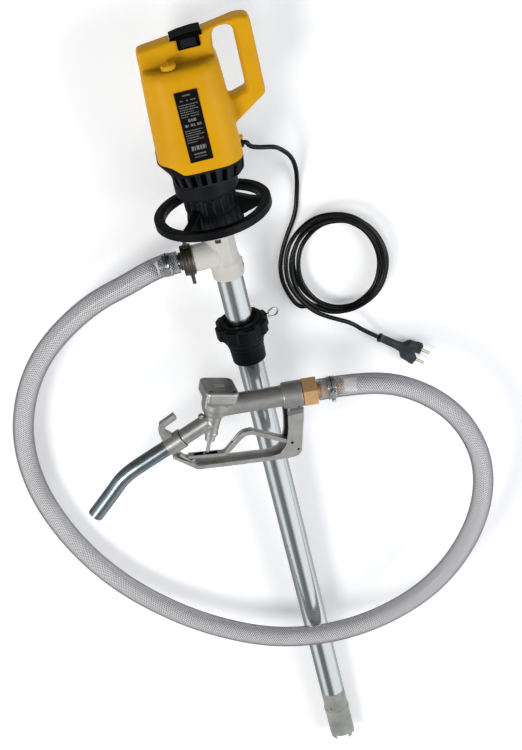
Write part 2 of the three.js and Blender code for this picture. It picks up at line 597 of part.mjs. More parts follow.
// switch block in the handle bridge, rocker on its -Y face
add('switch_frame',
  cut(
    fuse(
      box(-1.8, 43.8, -16.6, 16.6, 1318.5, 1341.5),
      box(-1.8, 43.8, -18.5, 18.5, 1337, 1342.5),
      box(8.5, 37.5, -8.5, 8.5, 1300, 1319),
    ),
    box(8, 37.4, -21, -9, 1320.5, 1335.5),
  ),
  { color: 0x141517, roughness: 0.4 });
const ROCKER_OUTLINE = [       // [x, y] from the rocker's own origin
  [-13.6, -4.8], [-13.6, -8.2], [-0.8, -5.4], [0.8, -5.4], [13.6, -6.4], [13.6, -2.2], [0, -0.4],
];
add('rocker_switch', prismXY(ROCKER_OUTLINE, 1321, 1335, shift(22.7, -10.8)),
  { color: 0x222427, roughness: 0.35 });

// ================================================================ mains cable and plug
const GROMMET_PROFILE = [
  [CABLE_R + 1, 56], [5.6, 56], [5.6, 63.2], [7, 63.2], [6.4, 66], [CABLE_R + 1, 66],
];
add('cable_grommet', turned(GROMMET_PROFILE, 16, true, CABLE_EXIT),
  { color: 0x131416, roughness: 0.6 });
add('power_cable',
  fuse(rod(CABLE_R, 50, 69.5, 12, CABLE_EXIT), swept(CABLE_PATH, CABLE_R, 0, 118, 5)),
  { color: 0x0f1011, roughness: 0.3 });

// plug at the cable's end: sleeve, rounded body and two pins
const PLUG = frameAt(CABLE_PATH.at(-1), [48.5, -2.2, -40.3]);
const PIN_FRAMES = [-9.5, 9.5].map((y) => shifted(PLUG, 0, y));
const SLEEVE_PROFILE = [
  [0, 0.4], [7.4, 0.4], [7.6, 5], [6.6, 8], [7.4, 14], [7.8, 40], [8.6, 48], [9.5, 55], [0, 55],
];
add('plug_body',
  cut(
    fuse(
      turned(SLEEVE_PROFILE, 16, false, PLUG),
      roundedPlate(8.4, 18, 7, 53, 70, PLUG),
      roundedPlate(9, 19.4, 7.5, 66, 73, PLUG),
    ),
    rod(CABLE_R + 0.4, -1, 8, 12, PLUG),
    ...PIN_FRAMES.map((frame) => rod(2.7, 60, 74, 12, frame)),
  ),
  { color: 0x101113, roughness: 0.4 });
PIN_FRAMES.forEach((frame, i) => add(`plug_pin_${'ab'[i]}`, rod(2.4, 60.4, 92, 12, frame), PIN_METAL));

// ================================================================ nozzle
function nozzleBody() {
  const collarProfile = [[0, 75], [19.6, 75], [20.5, 76.5], [20.5, 104.6], [19.8, 105.5], [0, 105.5]];
  const chamberProfile = [[0, -58], [12.5, -58], [17, -52.5], [19.8, -46], [19.8, -18], [0, -18]];
  const peg = frameAt([-88.5, NOZZLE_Y, 752.5], [-0.378, 0, 0.926]);
  return cut(
    fuse(
      rod(16.4, -22, 77, 28, BARREL),
      turned(collarProfile, 28, false, BARREL),
      roundedPlate(24.6, 24.6, 9, -22, -6.3, STEM),
      turned(chamberProfile, 28, false, STEM),
      rod(12.9, 0, 64, 28, FRONT),
      rod(11.3, -86, -48, 20, STEM),
      box(40, 62, NOZZLE_Y - 8, NOZZLE_Y + 8, 736.3, 752),   // block above the guard's rear leg
      rod(4.2, -4, 17.5, 12, peg),
    ),
    rod(14.6, 90, 106, 28, BARREL),
    rod(10.5, 0, 91, 20, BARREL),
    rod(13.6, -44, -5, 20, STEM),
    rod(9.6, -54, -43, 20, STEM),
    rod(3.5, -80, -50, 12, STEM),
    rod(6, -87, -76, 12, STEM),
    rod(9.6, 6, 66, 20, FRONT),
  );
}
add('nozzle_body', nozzleBody(), NOZZLE_METAL);

const CAP_SCREW_FRAMES = [[-1, -1], [1, -1], [1, 1], [-1, 1]].map(([x, y]) =>
  shifted(STEM, CAP_SCREW_OFFSET * x, CAP_SCREW_OFFSET * y));
CAP_SCREW_FRAMES.forEach((frame, i) => {
  const screw = cut(rod(2.9, -3, -0.2, 10, frame), rod(1.3, -1.8, 0.5, 6, frame));
  add(`cap_screw_${'abcd'[i]}`, screw, CAP_SCREW_STEEL);
});
add('valve_cap',
  cut(
    fuse(
      roundedPlate(CAP_HALF, CAP_HALF, 9.5, -6, -1.2, STEM),
      roundedPlate(CAP_HALF - 1.6, CAP_HALF - 1.6, 8.5, -2, 0, STEM),
    ),
    ...CAP_SCREW_FRAMES.map((frame) => rod(3.4, -3.4, 1, 12, frame)),
  ),
  { color: 0x8f8d8a, roughness: 0.45, metalness: 0.9 });

const PACKING_NUT_PROFILE = [
  [3.5, -97.5], [5.4, -97.5], [6.6, -96], [9, -88.5], [9.4, -86.4], [5.6, -86.4], [5.6, -76.4],
  [3.5, -76.4],
];
add('packing_nut', turned(PACKING_NUT_PROFILE, 16, true, STEM),
  { color: 0x8c8a87, roughness: 0.4, metalness: 0.9 });
const VALVE_STEM_PROFILE = [
  [0, -120.4], [2.4, -120.4], [3, -119.6], [3, -52], [3, -43.6], [12.2, -43.6], [12.2, -40.6],
  [4, -38.6], [0, -38.6],
];
add('valve_stem', turned(VALVE_STEM_PROFILE, 16, false, STEM),
  { color: 0xb4b6b8, roughness: 0.25, metalness: 1 });

function valveSpring() {
  const pointsPerTurn = 8;
  const pointCount = 4.5 * pointsPerTurn;
  const coil = times(pointCount + 1, (i) => {
    const [x, y] = circle(8.6, 1, (i / pointsPerTurn) * 2 * Math.PI)[0];
    return new THREE.Vector3(x, y, -38.4 + (i / pointCount) * 29.4).applyMatrix4(STEM).toArray();
  });
  return swept(coil, 0.8, 0, 42, 4);
}
add('valve_spring', valveSpring(), { color: 0xa9acae, roughness: 0.3, metalness: 1 });

// collar over the spout joint, with the hanging hook
const SPOUT_COLLAR_PROFILE = [
  [12.8, 64.4], [14.8, 64.4], [15.5, 65.2], [15.5, 91.8], [14.9, 92.6], [12.8, 92.6],
];
const HOOK_OUTLINE = [           // [x, z]
  [-160.5, 738], [-163.5, 757], [-160.4, 770.5], [-133.8, 782.2], [-130.6, 773],
  [-151.6, 763.4], [-153.2, 757], [-146.6, 747.5], [-146.6, 741],
];
add('spout_collar',
  cut(
    fuse(turned(SPOUT_COLLAR_PROFILE, 28, true, FRONT), nozzlePlate(HOOK_OUTLINE, 5)),
    rod(12.8, 60, 100, 28, FRONT),
  ),
  NOZZLE_METAL);

const SPOUT_BEND = [             // [x, z]
  [-191, 711], [-221, 698.2], [-239, 687.2], [-256, 670.9], [-275.5, 652.6], [-295.3, 634.2],
];
const SPOUT_PATH = [
  ...[66, 80, 96].map((distance) => along(FRONT_ORIGIN, FRONT_AXIS, distance)),
  ...SPOUT_BEND.map(([x, z]) => [x, NOZZLE_Y, z]),
];
add('spout', swept(SPOUT_PATH, 12.3, 10.9, 11, 12), { color: 0x8f979c, roughness: 0.2, metalness: 1 });

// ================================================================ trigger; outlines are [x, z]
// guard: leg on the hose side, channel along the bottom, strut up towards the spout
const GUARD_OUTLINE = [
  [60.5, 735.8], [59.5, 706], [52.5, 673], [46, 660.5], [38, 656.2], [8, 656], [-119, 676],
  [-152.3, 705.4], [-154, 708.3],
  // back along the inner edge
  [-147, 710.6], [-114, 689.5], [5, 664], [17, 674], [24, 697], [31.5, 735.8],
];
const GUARD_CHANNEL = [
  [12, 659.2], [-118, 679.4], [-150, 709], [-150, 730], [-80, 730], [12, 690],
];
const GUARD_LEG_HOLLOW = [
  [10, 664], [16, 664], [30, 676], [44, 672], [47, 700], [40, 736.5], [20, 736.5],
];
const LEVER_OUTLINE = [
  [-129, 703.1], [-76, 692.8], [-71, 694.5], [-46, 718], [-38, 722.8], [-27, 724], [26, 689.5],
  [32, 689.2], [37.4, 686.5], [38.2, 682], [35.6, 678], [30.6, 677.3], [24.5, 683.5],
  [-28, 718.6], [-36, 717.8], [-42.6, 713.9], [-68.5, 689.8], [-74, 687.6], [-129.3, 698.5],
];
const LATCH_OUTLINE = [
  [-142, 708.5], [-139.4, 709.4], [-127.6, 693.2], [-120.4, 695.4], [-119.6, 693],
  [-128.4, 689.9], [-142, 705.5],
];
add('trigger_guard',
  cut(
    nozzlePlate(GUARD_OUTLINE, 8),
    nozzlePlate(GUARD_CHANNEL, 6),
    nozzlePlate(GUARD_LEG_HOLLOW, 6.4),
    rod(2.3, -9, 9, 12, PIVOT_FRAME),
  ),
  { color: 0x96948f, roughness: 0.45, metalness: 0.9 });
add('trigger_pin', rod(2, -7.8, 7.8, 12, PIVOT_FRAME), { color: 0x8f9194, roughness: 0.3, metalness: 1 });
add('trigger_lever', cut(nozzlePlate(LEVER_OUTLINE, 5.8), rod(2.3, -7, 7, 12, PIVOT_FRAME)),
  { color: 0xa09e9a, roughness: 0.35, metalness: 0.9 });
add('hold_open_latch', nozzlePlate(LATCH_OUTLINE, 4.6),
  { color: 0x8a8986, roughness: 0.4, metalness: 0.9 });

// ================================================================ hose end of the nozzle
// brass hex connector with a barbed tail
function hoseConnector() {
  const barbs = times(3, (i) => {
    const z = 136 + i * 11;
    const profile = [[0, z], [10.8, z], [11.9, z + 0.6], [10.8, z + 9], [0, z + 9]];
    return turned(profile, 20, false, BARREL);
  });
  return cut(
    fuse(
      prismXY(circle(24.2, 6, Math.PI / 6), 106, 128.6, BARREL),
      rod(14.1, 92, 107, 28, BARREL),
      rod(11, 128, 171, 20, BARREL),
      ...barbs,
    ),
    rod(9, 90, 175, 20, BARREL),
  );
}
add('brass_hose_connector', hoseConnector(), { color: 0xb98a45, roughness: 0.35, metalness: 1 });

// half a turn puts this clamp's screw housing on the -Y side, like the outlet clamp's
addHoseClamp('nozzle',
  frameAt(along(BARREL_ORIGIN, BARREL_AXIS, 151), BARREL_AXIS, [0, 0, 1]).multiply(rotZ(180)));

export default group;
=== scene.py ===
# A drum pump with its delivery hose and nozzle, in millimetres scaled to metres at the end.
# The pump tube stands on the z axis with the foot at z = 0 and the motor on top.
# The outlet points to -X, the hose loops round to the nozzle (in the plane y = -66), and
# the viewer is on the -Y side, with a pale table behind the pump.
import math

import bmesh
import bpy
import numpy as np
from mathutils import Matrix, Vector


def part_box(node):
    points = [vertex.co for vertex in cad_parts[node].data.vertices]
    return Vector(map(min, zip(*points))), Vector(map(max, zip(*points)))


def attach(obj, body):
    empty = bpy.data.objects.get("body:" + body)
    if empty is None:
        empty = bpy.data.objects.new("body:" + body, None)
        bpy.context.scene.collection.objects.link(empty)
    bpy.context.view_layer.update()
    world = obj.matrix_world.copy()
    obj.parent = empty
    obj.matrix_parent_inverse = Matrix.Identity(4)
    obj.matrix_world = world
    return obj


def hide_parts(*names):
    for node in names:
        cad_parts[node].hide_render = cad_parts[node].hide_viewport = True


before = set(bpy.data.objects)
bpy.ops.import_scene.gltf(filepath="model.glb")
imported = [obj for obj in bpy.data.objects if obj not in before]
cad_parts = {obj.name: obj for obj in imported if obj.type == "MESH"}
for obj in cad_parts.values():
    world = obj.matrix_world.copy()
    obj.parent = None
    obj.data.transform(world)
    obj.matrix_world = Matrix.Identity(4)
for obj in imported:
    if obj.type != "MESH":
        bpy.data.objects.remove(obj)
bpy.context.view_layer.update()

MM = 0.001
PI = math.pi


# ------------------------------------------------------------------ frames and outlines
def matrix_of(x, y, z, origin):
    """Matrix with these three axes and origin as its columns."""
    return Matrix((*zip(x, y, z, origin), (0, 0, 0, 1)))


def frame_at(origin, axis, toward=(0, 1, 0)):
    """Frame with z along axis and x as near to toward as it can be."""
    z = Vector(axis).normalized()
    toward = Vector(toward)
    x = (toward - z * toward.dot(z)).normalized()
    return matrix_of(x, z.cross(x), z, origin)


def turn(degrees):
    return Matrix.Rotation(math.radians(degrees), 4, "Z")


def move(x, y, z):
    return Matrix.Translation((x, y, z))


ALONG_X = frame_at((0, 0, 0), (1, 0, 0))
# Takes local (x, y, z) to (x, -z, y), so that an outline lies in the xz plane.
XZ = Matrix(((1, 0, 0, 0), (0, 0, -1, 0), (0, 1, 0, 0), (0, 0, 0, 1)))


def rounded(points, radius=0.5, steps=3, closed=True):
    """Curve every corner. A third value in a point is that corner's own radius."""
    out = []
    count = len(points)
    for i, point in enumerate(points):
        own = point[2] if len(point) > 2 else radius
        corner = Vector(point[:2])
        before = Vector(points[i - 1][:2]) - corner
        after = Vector(points[(i + 1) % count][:2]) - corner
        open_end = not closed and i in (0, count - 1)
        sharp = open_end or own <= 0 or before.length < 1e-6 or after.length < 1e-6
        if sharp or before.angle(after) > 3.1:
            out.append(tuple(corner))
            continue
        reach = own / math.tan(before.angle(after) / 2)
        reach = min(reach, before.length * 0.48, after.length * 0.48)
        start = corner + before.normalized() * reach
        end = corner + after.normalized() * reach
        for k in range(steps + 1):
            u = k / steps
            out.append(tuple(start * (1 - u) ** 2 + corner * 2 * u * (1 - u) + end * u * u))
    return out


def round_rect(x0, x1, y0, y1, r, steps=6):
    points = []
    centres = ((x1 - r, y1 - r), (x0 + r, y1 - r), (x0 + r, y0 + r), (x1 - r, y0 + r))
    for quarter, (x, y) in enumerate(centres):
        for i in range(steps + 1):
            t = math.radians(90 * quarter + 90 * i / steps)
            points.append((x + r * math.cos(t), y + r * math.sin(t)))
    return points


def hexagon(r, phase=0.0):
    angles = [phase + 2 * PI * i / 6 for i in range(6)]
    return [(r * math.cos(t), r * math.sin(t)) for t in angles]


def offset(outline, inset):
    """Each point moved inwards along its averaged normal."""
    p = np.array(outline, float)
    after = np.roll(p, -1, 0)
    t = after - np.roll(p, 1, 0)
    t /= np.linalg.norm(t, axis=1)[:, None] + 1e-12
    area = 0.5 * np.sum(p[:, 0] * after[:, 1] - after[:, 0] * p[:, 1])
    normal = np.stack([-t[:, 1], t[:, 0]], 1) * (1 if area > 0 else -1)
    return [tuple(v) for v in p + normal * inset]


# ------------------------------------------------------------------ solids
def mesh_object(name, verts, faces):
    """Object from plain lists, in metres."""
    mesh = bpy.data.meshes.new(name)
    mesh.from_pydata(verts, [], faces)
    mesh.update()
    obj = bpy.data.objects.new(name, mesh)
    bpy.context.scene.collection.objects.link(obj)
    return obj


def solid(verts, faces, place=Matrix()):
    """Clean solid from millimetre points, moved by place."""
    a = np.array(place)
    v = np.array(verts, float) @ a[:3, :3].T + a[:3, 3]
    obj = mesh_object("part", (v * MM).tolist(), faces)
    bm = bmesh.new()
    bm.from_mesh(obj.data)
    bmesh.ops.remove_doubles(bm, verts=bm.verts, dist=1e-7)
    bmesh.ops.recalc_face_normals(bm, faces=bm.faces)
    bm.to_mesh(obj.data)
    bm.free()
    return obj


def lathe(profile, sides=64, place=Matrix(), corner=0.5):
    """Profile of (radius, z[, corner radius]) turned about z.
    A profile that starts on the axis also ends there, and is left open."""
    verts, rings, faces = [], [], []
    for radius, z in rounded(profile, corner, closed=profile[0][0] != 0):
        count = 1 if abs(radius) < 1e-5 else sides
        rings.append(range(len(verts), len(verts) + count))
        angles = [2 * PI * k / sides for k in range(count)]
        verts += [(radius * math.cos(t), radius * math.sin(t), z) for t in angles]
    for a, b in zip(rings, rings[1:] + rings[:1]):
        na, nb = len(a), len(b)
        if na == nb == 1:
            continue
        for k in range(sides):
            k2 = (k + 1) % sides
            # At the axis two corners are one point, and the quad becomes a triangle.
            quad = (a[k % na], a[k2 % na], b[k2 % nb], b[k % nb])
            faces.append(tuple(dict.fromkeys(quad)))
    return solid(verts, faces, place)


def ring(r0, r1, z0, z1, sides=64, place=Matrix(), corner=0.3):
    return lathe([(r0, z0), (r1, z0), (r1, z1), (r0, z1)], sides, place, corner)


def rod(radius, z0, z1, sides=48, place=Matrix(), corner=0.3):
    return lathe([(0, z0), (radius, z0), (radius, z1), (0, z1)], sides, place, corner)


def prism(outline, z0, z1, place=Matrix()):
    n = len(outline)
    verts = [(x, y, z) for z in (z0, z1) for x, y in outline]
    faces = [tuple(reversed(range(n))), tuple(range(n, 2 * n))]
    faces += [(i, (i + 1) % n, n + (i + 1) % n, n + i) for i in range(n)]
    return solid(verts, faces, place)


def prism_xz(outline, y0, y1, place=Matrix()):
    """Prism along y over an outline of (x, z)."""
    return prism(outline, -y1, -y0, place @ XZ)


def box(x0, x1, y0, y1, z0, z1, place=Matrix()):
    return prism([(x0, y0), (x1, y0), (x1, y1), (x0, y1)], z0, z1, place)


def tube_faces(sections, n, base=0):
    """Quads between rings of n points."""
    return [(base + j * n + i, base + j * n + (i + 1) % n,
             base + (j + 1) * n + (i + 1) % n, base + (j + 1) * n + i)
            for j in range(sections - 1) for i in range(n)]


def end_caps(sections, n):
    return [tuple(reversed(range(n))), tuple(range((sections - 1) * n, sections * n))]


def loft(sections, place=Matrix()):
    """Skin over sections of (x, y, z), all of the same length."""
    m, n = len(sections), len(sections[0])
    return solid([p for s in sections for p in s], tube_faces(m, n) + end_caps(m, n), place)


def rect_loft(stations, steps=8, place=Matrix()):
    """Loft of rounded rectangles; stations are (z, x0, x1, half y, corner radius)."""
    return loft([[(x, y, z) for x, y in round_rect(x0, x1, -half, half, r, steps)]
                 for z, x0, x1, half, r in stations], place)


def inset_loft(outline, levels):
    """Loft along y over an (x, z) outline; levels are (y, inset)."""
    return loft([[(x, y, z) for x, z in offset(outline, inset)] for y, inset in levels])


# ------------------------------------------------------------------ paths
def catmull(points, per):
    """Centripetal Catmull-Rom curve through the points, with per steps to a span."""
    knots = [Vector(p) for p in points]
    knots = [knots[0] * 2 - knots[1]] + knots + [knots[-1] * 2 - knots[-2]]
    out = []
    for p0, p1, p2, p3 in zip(knots, knots[1:], knots[2:], knots[3:]):
        spans = ((p0, p1), (p1, p2), (p2, p3))
        d0, d1, d2 = (max((b - a).length, 1e-4) ** 0.5 for a, b in spans)
        m1 = (p2 - p1) + ((p1 - p0) / d0 - (p2 - p0) / (d0 + d1)) * d1
        m2 = (p2 - p1) + ((p3 - p2) / d2 - (p3 - p1) / (d1 + d2)) * d1
        for k in range(per):
            t = k / per
            out.append(p1 * (2 * t**3 - 3 * t**2 + 1) + m1 * (t**3 - 2 * t**2 + t)
                       + p2 * (-2 * t**3 + 3 * t**2) + m2 * (t**3 - t**2))
    out.append(knots[-2])
    return out


def arc_lengths(path):
    return np.concatenate([[0], np.cumsum(np.linalg.norm(np.diff(path, axis=0), axis=1))])


def interpolate(at, lengths, values):
    return np.stack([np.interp(at, lengths, values[:, k]) for k in range(3)], 1)


def resample(points, step):
    """Evenly spaced points along a line, and their distances along it."""
    p = np.array([list(v) for v in points], float)
    lengths = arc_lengths(p)
    count = max(2, int(round(lengths[-1] / step)) + 1)
    at = np.linspace(0, lengths[-1], count)
    return interpolate(at, lengths, p), at


def relax(path, start, stop, rounds):
    """Smooth the path in place, but for the first start and last stop points."""
    for _ in range(rounds):
        neighbours = path[start - 1:-stop - 1] + path[start + 1:1 - stop]
        path[start:-stop] = path[start:-stop] * 0.5 + neighbours * 0.25


def transport(path):
    """Frames along a path without twist: tangent, normal, binormal."""
    tangent = np.gradient(path, axis=0)
    tangent /= np.linalg.norm(tangent, axis=1)[:, None]
    normals = [np.array((0, 0, 1.0))]
    for t in tangent:
        v = normals[-1] - t * (normals[-1] @ t)
        normals.append(v / np.linalg.norm(v))
    normals = np.array(normals[1:])
    return tangent, normals, np.cross(tangent, normals)


def sweep(path, radius, sides=24, bore=None):
    """Round bar along the path, or a pipe if there is a bore radius."""
    _, normal, binormal = transport(path)
    m, n = len(path), sides
    t = np.arange(n) * 2 * PI / n
    around = (np.cos(t)[None, :, None] * normal[:, None, :]
              + np.sin(t)[None, :, None] * binormal[:, None, :])

    def shell(r):
        r = np.broadcast_to(np.array(r, float), (m,))
        return (path[:, None, :] + r[:, None, None] * around).reshape(-1, 3)

    verts = shell(radius)
    faces = tube_faces(m, n)
    if bore is None:
        return solid(verts, faces + end_caps(m, n))
    base = len(verts)
    verts = np.concatenate([verts, shell(bore)])
    faces += [(a, d, c, b) for a, b, c, d in tube_faces(m, n, base)]
    for j, order in ((0, 1), (m - 1, -1)):
        for i in range(n):
            a, b = j * n + i, j * n + (i + 1) % n
            faces.append((a, base + a, base + b, b)[::order])
    return solid(verts, faces)


# ------------------------------------------------------------------ joining, cutting, finishing
def join(parts):
    mesh = bpy.data.meshes.new("joined")
    bm = bmesh.new()
    for part in parts:
        bm.from_mesh(part.data)
    bm.to_mesh(mesh)
    bm.free()
    for part in parts:
        bpy.data.objects.remove(part)
    obj = bpy.data.objects.new("joined", mesh)
    bpy.context.scene.collection.objects.link(obj)
    return obj


def apply_modifiers(obj):
    graph = bpy.context.evaluated_depsgraph_get()
    graph.update()
    mesh = bpy.data.meshes.new_from_object(obj.evaluated_get(graph))
    obj.modifiers.clear()
    old = obj.data
    obj.data = mesh
    bpy.data.meshes.remove(old)
    return obj


def subtract(obj, cutter):
    mod = obj.modifiers.new("b", "BOOLEAN")
    mod.operation = "DIFFERENCE"
    mod.solver = "EXACT"
    mod.object = cutter
    apply_modifiers(obj)


def cut(obj, *cutters):
    for cutter in cutters:
        subtract(obj, cutter)
        bpy.data.objects.remove(cutter)
    return obj


def soften(obj, voxel, rounds):
    """Merge overlapping bodies into one skin with small natural radii."""
    mod = obj.modifiers.new("r", "REMESH")
    mod.mode = "VOXEL"
    mod.voxel_size = voxel * MM
    mod.adaptivity = 0
    mod = obj.modifiers.new("s", "SMOOTH")
    mod.iterations = rounds
    mod.factor = 0.5
    apply_modifiers(obj)
    for face in obj.data.polygons:
        face.use_smooth = True
    obj["soft"] = 1
    return obj


def extent(obj):
    points = np.array([tuple(v.co) for v in obj.data.vertices])
    return points.min(0), points.max(0)


def carved(parts, voxel, rounds, *cutters):
    """Cut each part by the cutters that reach it, then merge all into one skin."""
    kept = []
    for part in parts:
        for cutter in cutters:
            (lo, hi), (cut_lo, cut_hi) = extent(part), extent(cutter)
            if np.any(lo > cut_hi) or np.any(cut_lo > hi):
                continue
            subtract(part, cutter)
            if not part.data.vertices:
                break
        if part.data.vertices:
            kept.append(part)
        else:
            bpy.data.objects.remove(part)
    for cutter in cutters:
        bpy.data.objects.remove(cutter)
    return soften(join(kept), voxel, rounds)


def bevel(obj, width, segments, angle=35):
    mod = obj.modifiers.new("v", "BEVEL")
    mod.width = width * MM
    mod.segments = segments
    mod.limit_method = "ANGLE"
    mod.angle_limit = math.radians(angle)
    mod.use_clamp_overlap = True
    return apply_modifiers(obj)


def shade(obj, angle):
    """Smooth shading, with edges sharper than angle kept sharp."""
    bm = bmesh.new()
    bm.from_mesh(obj.data)
    limit = math.radians(angle)
    for face in bm.faces:
        face.smooth = True
    for edge in bm.edges:
        edge.smooth = not (len(edge.link_faces) == 2 and edge.calc_face_angle(0) > limit)
    bm.to_mesh(obj.data)
    bm.free()


def piece(obj, name, look, body, slot, *replaces, angle=32, weighted=True):
    obj.name = name
    obj.data.name = name
    if "soft" not in obj:
        shade(obj, angle)
        if weighted:
            mod = obj.modifiers.new("weighted", "WEIGHTED_NORMAL")
            mod.keep_sharp = True
    obj.data.materials.clear()
    obj.data.materials.append(look)
    for face in obj.data.polygons:
        face.material_index = 0
    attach(obj, body)
    if replaces:
        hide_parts(*replaces)


# ------------------------------------------------------------------ shader nodes
def set_inputs(tree, node, inputs):
    """Link the inputs given as sockets, and set the rest as values."""
    for key, value in inputs.items():
        if isinstance(value, bpy.types.NodeSocket):
            tree.links.new(value, node.inputs[key])
        else:
            node.inputs[key].default_value = value


def add_node(tree, kind, inputs={}, **settings):
    node = tree.nodes.new("ShaderNode" + kind)
    for key, value in settings.items():
        setattr(node, key, value)
    set_inputs(tree, node, inputs)
    return node


def noise(tree, vector, scale, detail=2, output="Fac"):
    inputs = {"Scale": scale, "Detail": detail, "Vector": vector}
    return add_node(tree, "TexNoise", inputs).outputs[output]


def color_ramp(tree, factor, stops):
    """Stops are (position, rgb)."""
    node = add_node(tree, "ValToRGB", {"Fac": factor})
    elements = node.color_ramp.elements
    while len(elements) < len(stops):
        elements.new(0.5)
    for element, (position, rgb) in zip(elements, stops):
        element.position = position
        element.color = (*rgb, 1)
    return node.outputs["Color"]


def map_range(tree, value, start, end, to_start=0.0, to_end=1.0):
    return add_node(tree, "MapRange", {
        "Value": value, "From Min": start, "From Max": end,
        "To Min": to_start, "To Max": to_end}).outputs[0]


def mix_colors(tree, factor, a, b, blend="MIX"):
    return add_node(tree, "Mix", {"Factor": factor, "A": a, "B": b},
                    data_type="RGBA", blend_type=blend).outputs["Result"]


def mix_shaders(tree, factor, a, b):
    return add_node(tree, "MixShader", {"Fac": factor, 1: a, 2: b}).outputs[0]


def bump_normal(tree, vector, scale, strength, distance):
    height = noise(tree, vector, scale)
    return add_node(tree, "Bump", {"Strength": strength, "Distance": distance,
                                   "Height": height}).outputs[0]


def new_material(name):
    made = bpy.data.materials.new(name)
    made.use_nodes = True
    return made, made.node_tree, made.node_tree.nodes["Principled BSDF"]


def material(name, light, dark, rough=0.4, vary=0.08, metal=0.0, scale=40, stretch=(1, 1, 1),
             bump=0.1, bump_scale=900, bump_stretch=(1, 1, 1), ridge_tint=None, ridge_from=0.56,
             hollow_tint=None, bounce=None, subsurface=0.0, specular=0.5):
    """Blotches of light and dark at scale, with roughness rough +/- vary and a fine bump.
    Raised edges and hollows take their own tints, picked out by curvature; bounce is the colour seen
    by diffuse rays."""
    made, tree, shader = new_material(name)
    coords = add_node(tree, "TexCoord").outputs["Object"]
    spread = add_node(tree, "Mapping", {"Scale": stretch, "Vector": coords}).outputs[0]
    color = color_ramp(tree, noise(tree, spread, scale, 5), [(0.34, dark), (0.66, light)])
    # raised edges and hollows get their own tint, found from the curvature
    if ridge_tint or hollow_tint:
        pointiness = add_node(tree, "NewGeometry").outputs["Pointiness"]
        for tint, start, end in ((ridge_tint, ridge_from, ridge_from + 0.10), (hollow_tint, 0.47, 0.38)):
            if tint:
                amount = map_range(tree, pointiness, start, end)
                color = mix_colors(tree, amount, color, (*tint, 1))
    if bounce:
        diffuse = add_node(tree, "LightPath").outputs["Is Diffuse Ray"]
        color = mix_colors(tree, diffuse, color, (*bounce, 1))
    fine = add_node(tree, "Mapping", {"Scale": bump_stretch, "Vector": coords}).outputs[0]
    set_inputs(tree, shader, {
        "Base Color": color,
        "Roughness": map_range(tree, noise(tree, spread, scale * 3.1, 3), 0.3, 0.7,
                               max(0.02, rough - vary), min(1, rough + vary)),
        "Normal": bump_normal(tree, fine, bump_scale, bump, distance=0.0004),
        "Metallic": metal,
        "Specular IOR Level": specular})
    if subsurface:
        set_inputs(tree, shader, {"Subsurface Weight": subsurface, "Subsurface Scale": 1.0,
                                  "Subsurface Radius": (0.006, 0.005, 0.004)})
    return made


def hose_material(name, tint, edge, face_alpha, edge_alpha, rough=0.12):
    """Clear vinyl: see-through where it faces the viewer, milky towards its edges."""
    made, tree, shader = new_material(name)
    facing = add_node(tree, "LayerWeight", {"Blend": 0.5}).outputs["Facing"]
    coords = add_node(tree, "TexCoord").outputs["Object"]
    clouds = noise(tree, coords, 25, 3, "Color")
    color = color_ramp(tree, facing, [(0.20, tint), (0.52, edge)])
    set_inputs(tree, shader, {
        "Base Color": mix_colors(tree, 0.25, color, clouds, "MULTIPLY"),
        "Roughness": rough,
        "Specular IOR Level": 0.6,
        "Coat Weight": 0.4,
        "Coat Roughness": 0.08,
        "Normal": bump_normal(tree, coords, 180, strength=0.12, distance=0.0006)})
    alpha = map_range(tree, facing, 0.22, 0.62, face_alpha, edge_alpha)
    clear = add_node(tree, "BsdfTransparent").outputs[0]
    surface = mix_shaders(tree, alpha, clear, shader.outputs[0])
    set_inputs(tree, tree.nodes["Material Output"], {"Surface": surface})
    return made


# ------------------------------------------------------------------ materials
YELLOW = material("yellow_housing", (0.755, 0.375, 0.003), (0.70, 0.335, 0.0025), vary=0.05,
                  scale=14, bump=0.12, bump_scale=1500, ridge_tint=(0.88, 0.50, 0.012),
                  ridge_from=0.57, hollow_tint=(0.42, 0.14, 0.003), bounce=(0.62, 0.58, 0.50),
                  specular=0.13)
BLACK = material("black_plastic", (0.0024, 0.0032, 0.0040), (0.0014, 0.0019, 0.0024), scale=30,
                 bump=0.14, bump_scale=1300, ridge_tint=(0.010, 0.012, 0.014), ridge_from=0.565,
                 specular=0.11)
BAND = material("black_band", (0.0080, 0.0100, 0.0135), (0.0058, 0.0074, 0.0100), rough=0.44,
                vary=0.06, scale=22, bump_scale=1700, ridge_tint=(0.02, 0.023, 0.028),
                ridge_from=0.57, specular=0.09)
GLOSS = material("black_gloss", (0.0016, 0.0017, 0.0019), (0.0010, 0.0011, 0.0012), vary=0.06,
                 scale=30, bump=0.06, ridge_tint=(0.005, 0.005, 0.0055), ridge_from=0.57,
                 specular=0.03)
ROCKER = material("rocker_grey", (0.011, 0.0125, 0.0155), (0.008, 0.009, 0.0115), rough=0.34,
                  vary=0.06, scale=60, bump=0.08, bump_scale=1500, specular=0.10)
LABEL = material("label", (0.0065, 0.006, 0.005), (0.0045, 0.004, 0.0035), rough=0.42,
                 vary=0.05, scale=50, bump=0.05, bump_scale=1500, specular=0.05)
MARK = material("label_marks", (0.21, 0.215, 0.21), (0.12, 0.125, 0.12), rough=0.5, vary=0.05,
                scale=300, bump=0.05, bump_scale=1500)
WHITE = material("white_plastic", (0.66, 0.645, 0.605), (0.63, 0.60, 0.545), rough=0.42,
                 vary=0.06, scale=18, bump=0.08, bump_scale=1200, subsurface=0.25,
                 ridge_tint=(0.68, 0.67, 0.64), specular=0.35)
FOOT = material("foot_plastic", (0.40, 0.405, 0.375), (0.27, 0.275, 0.25), rough=0.36,
                scale=35, subsurface=0.4, ridge_tint=(0.52, 0.525, 0.50), specular=0.35)
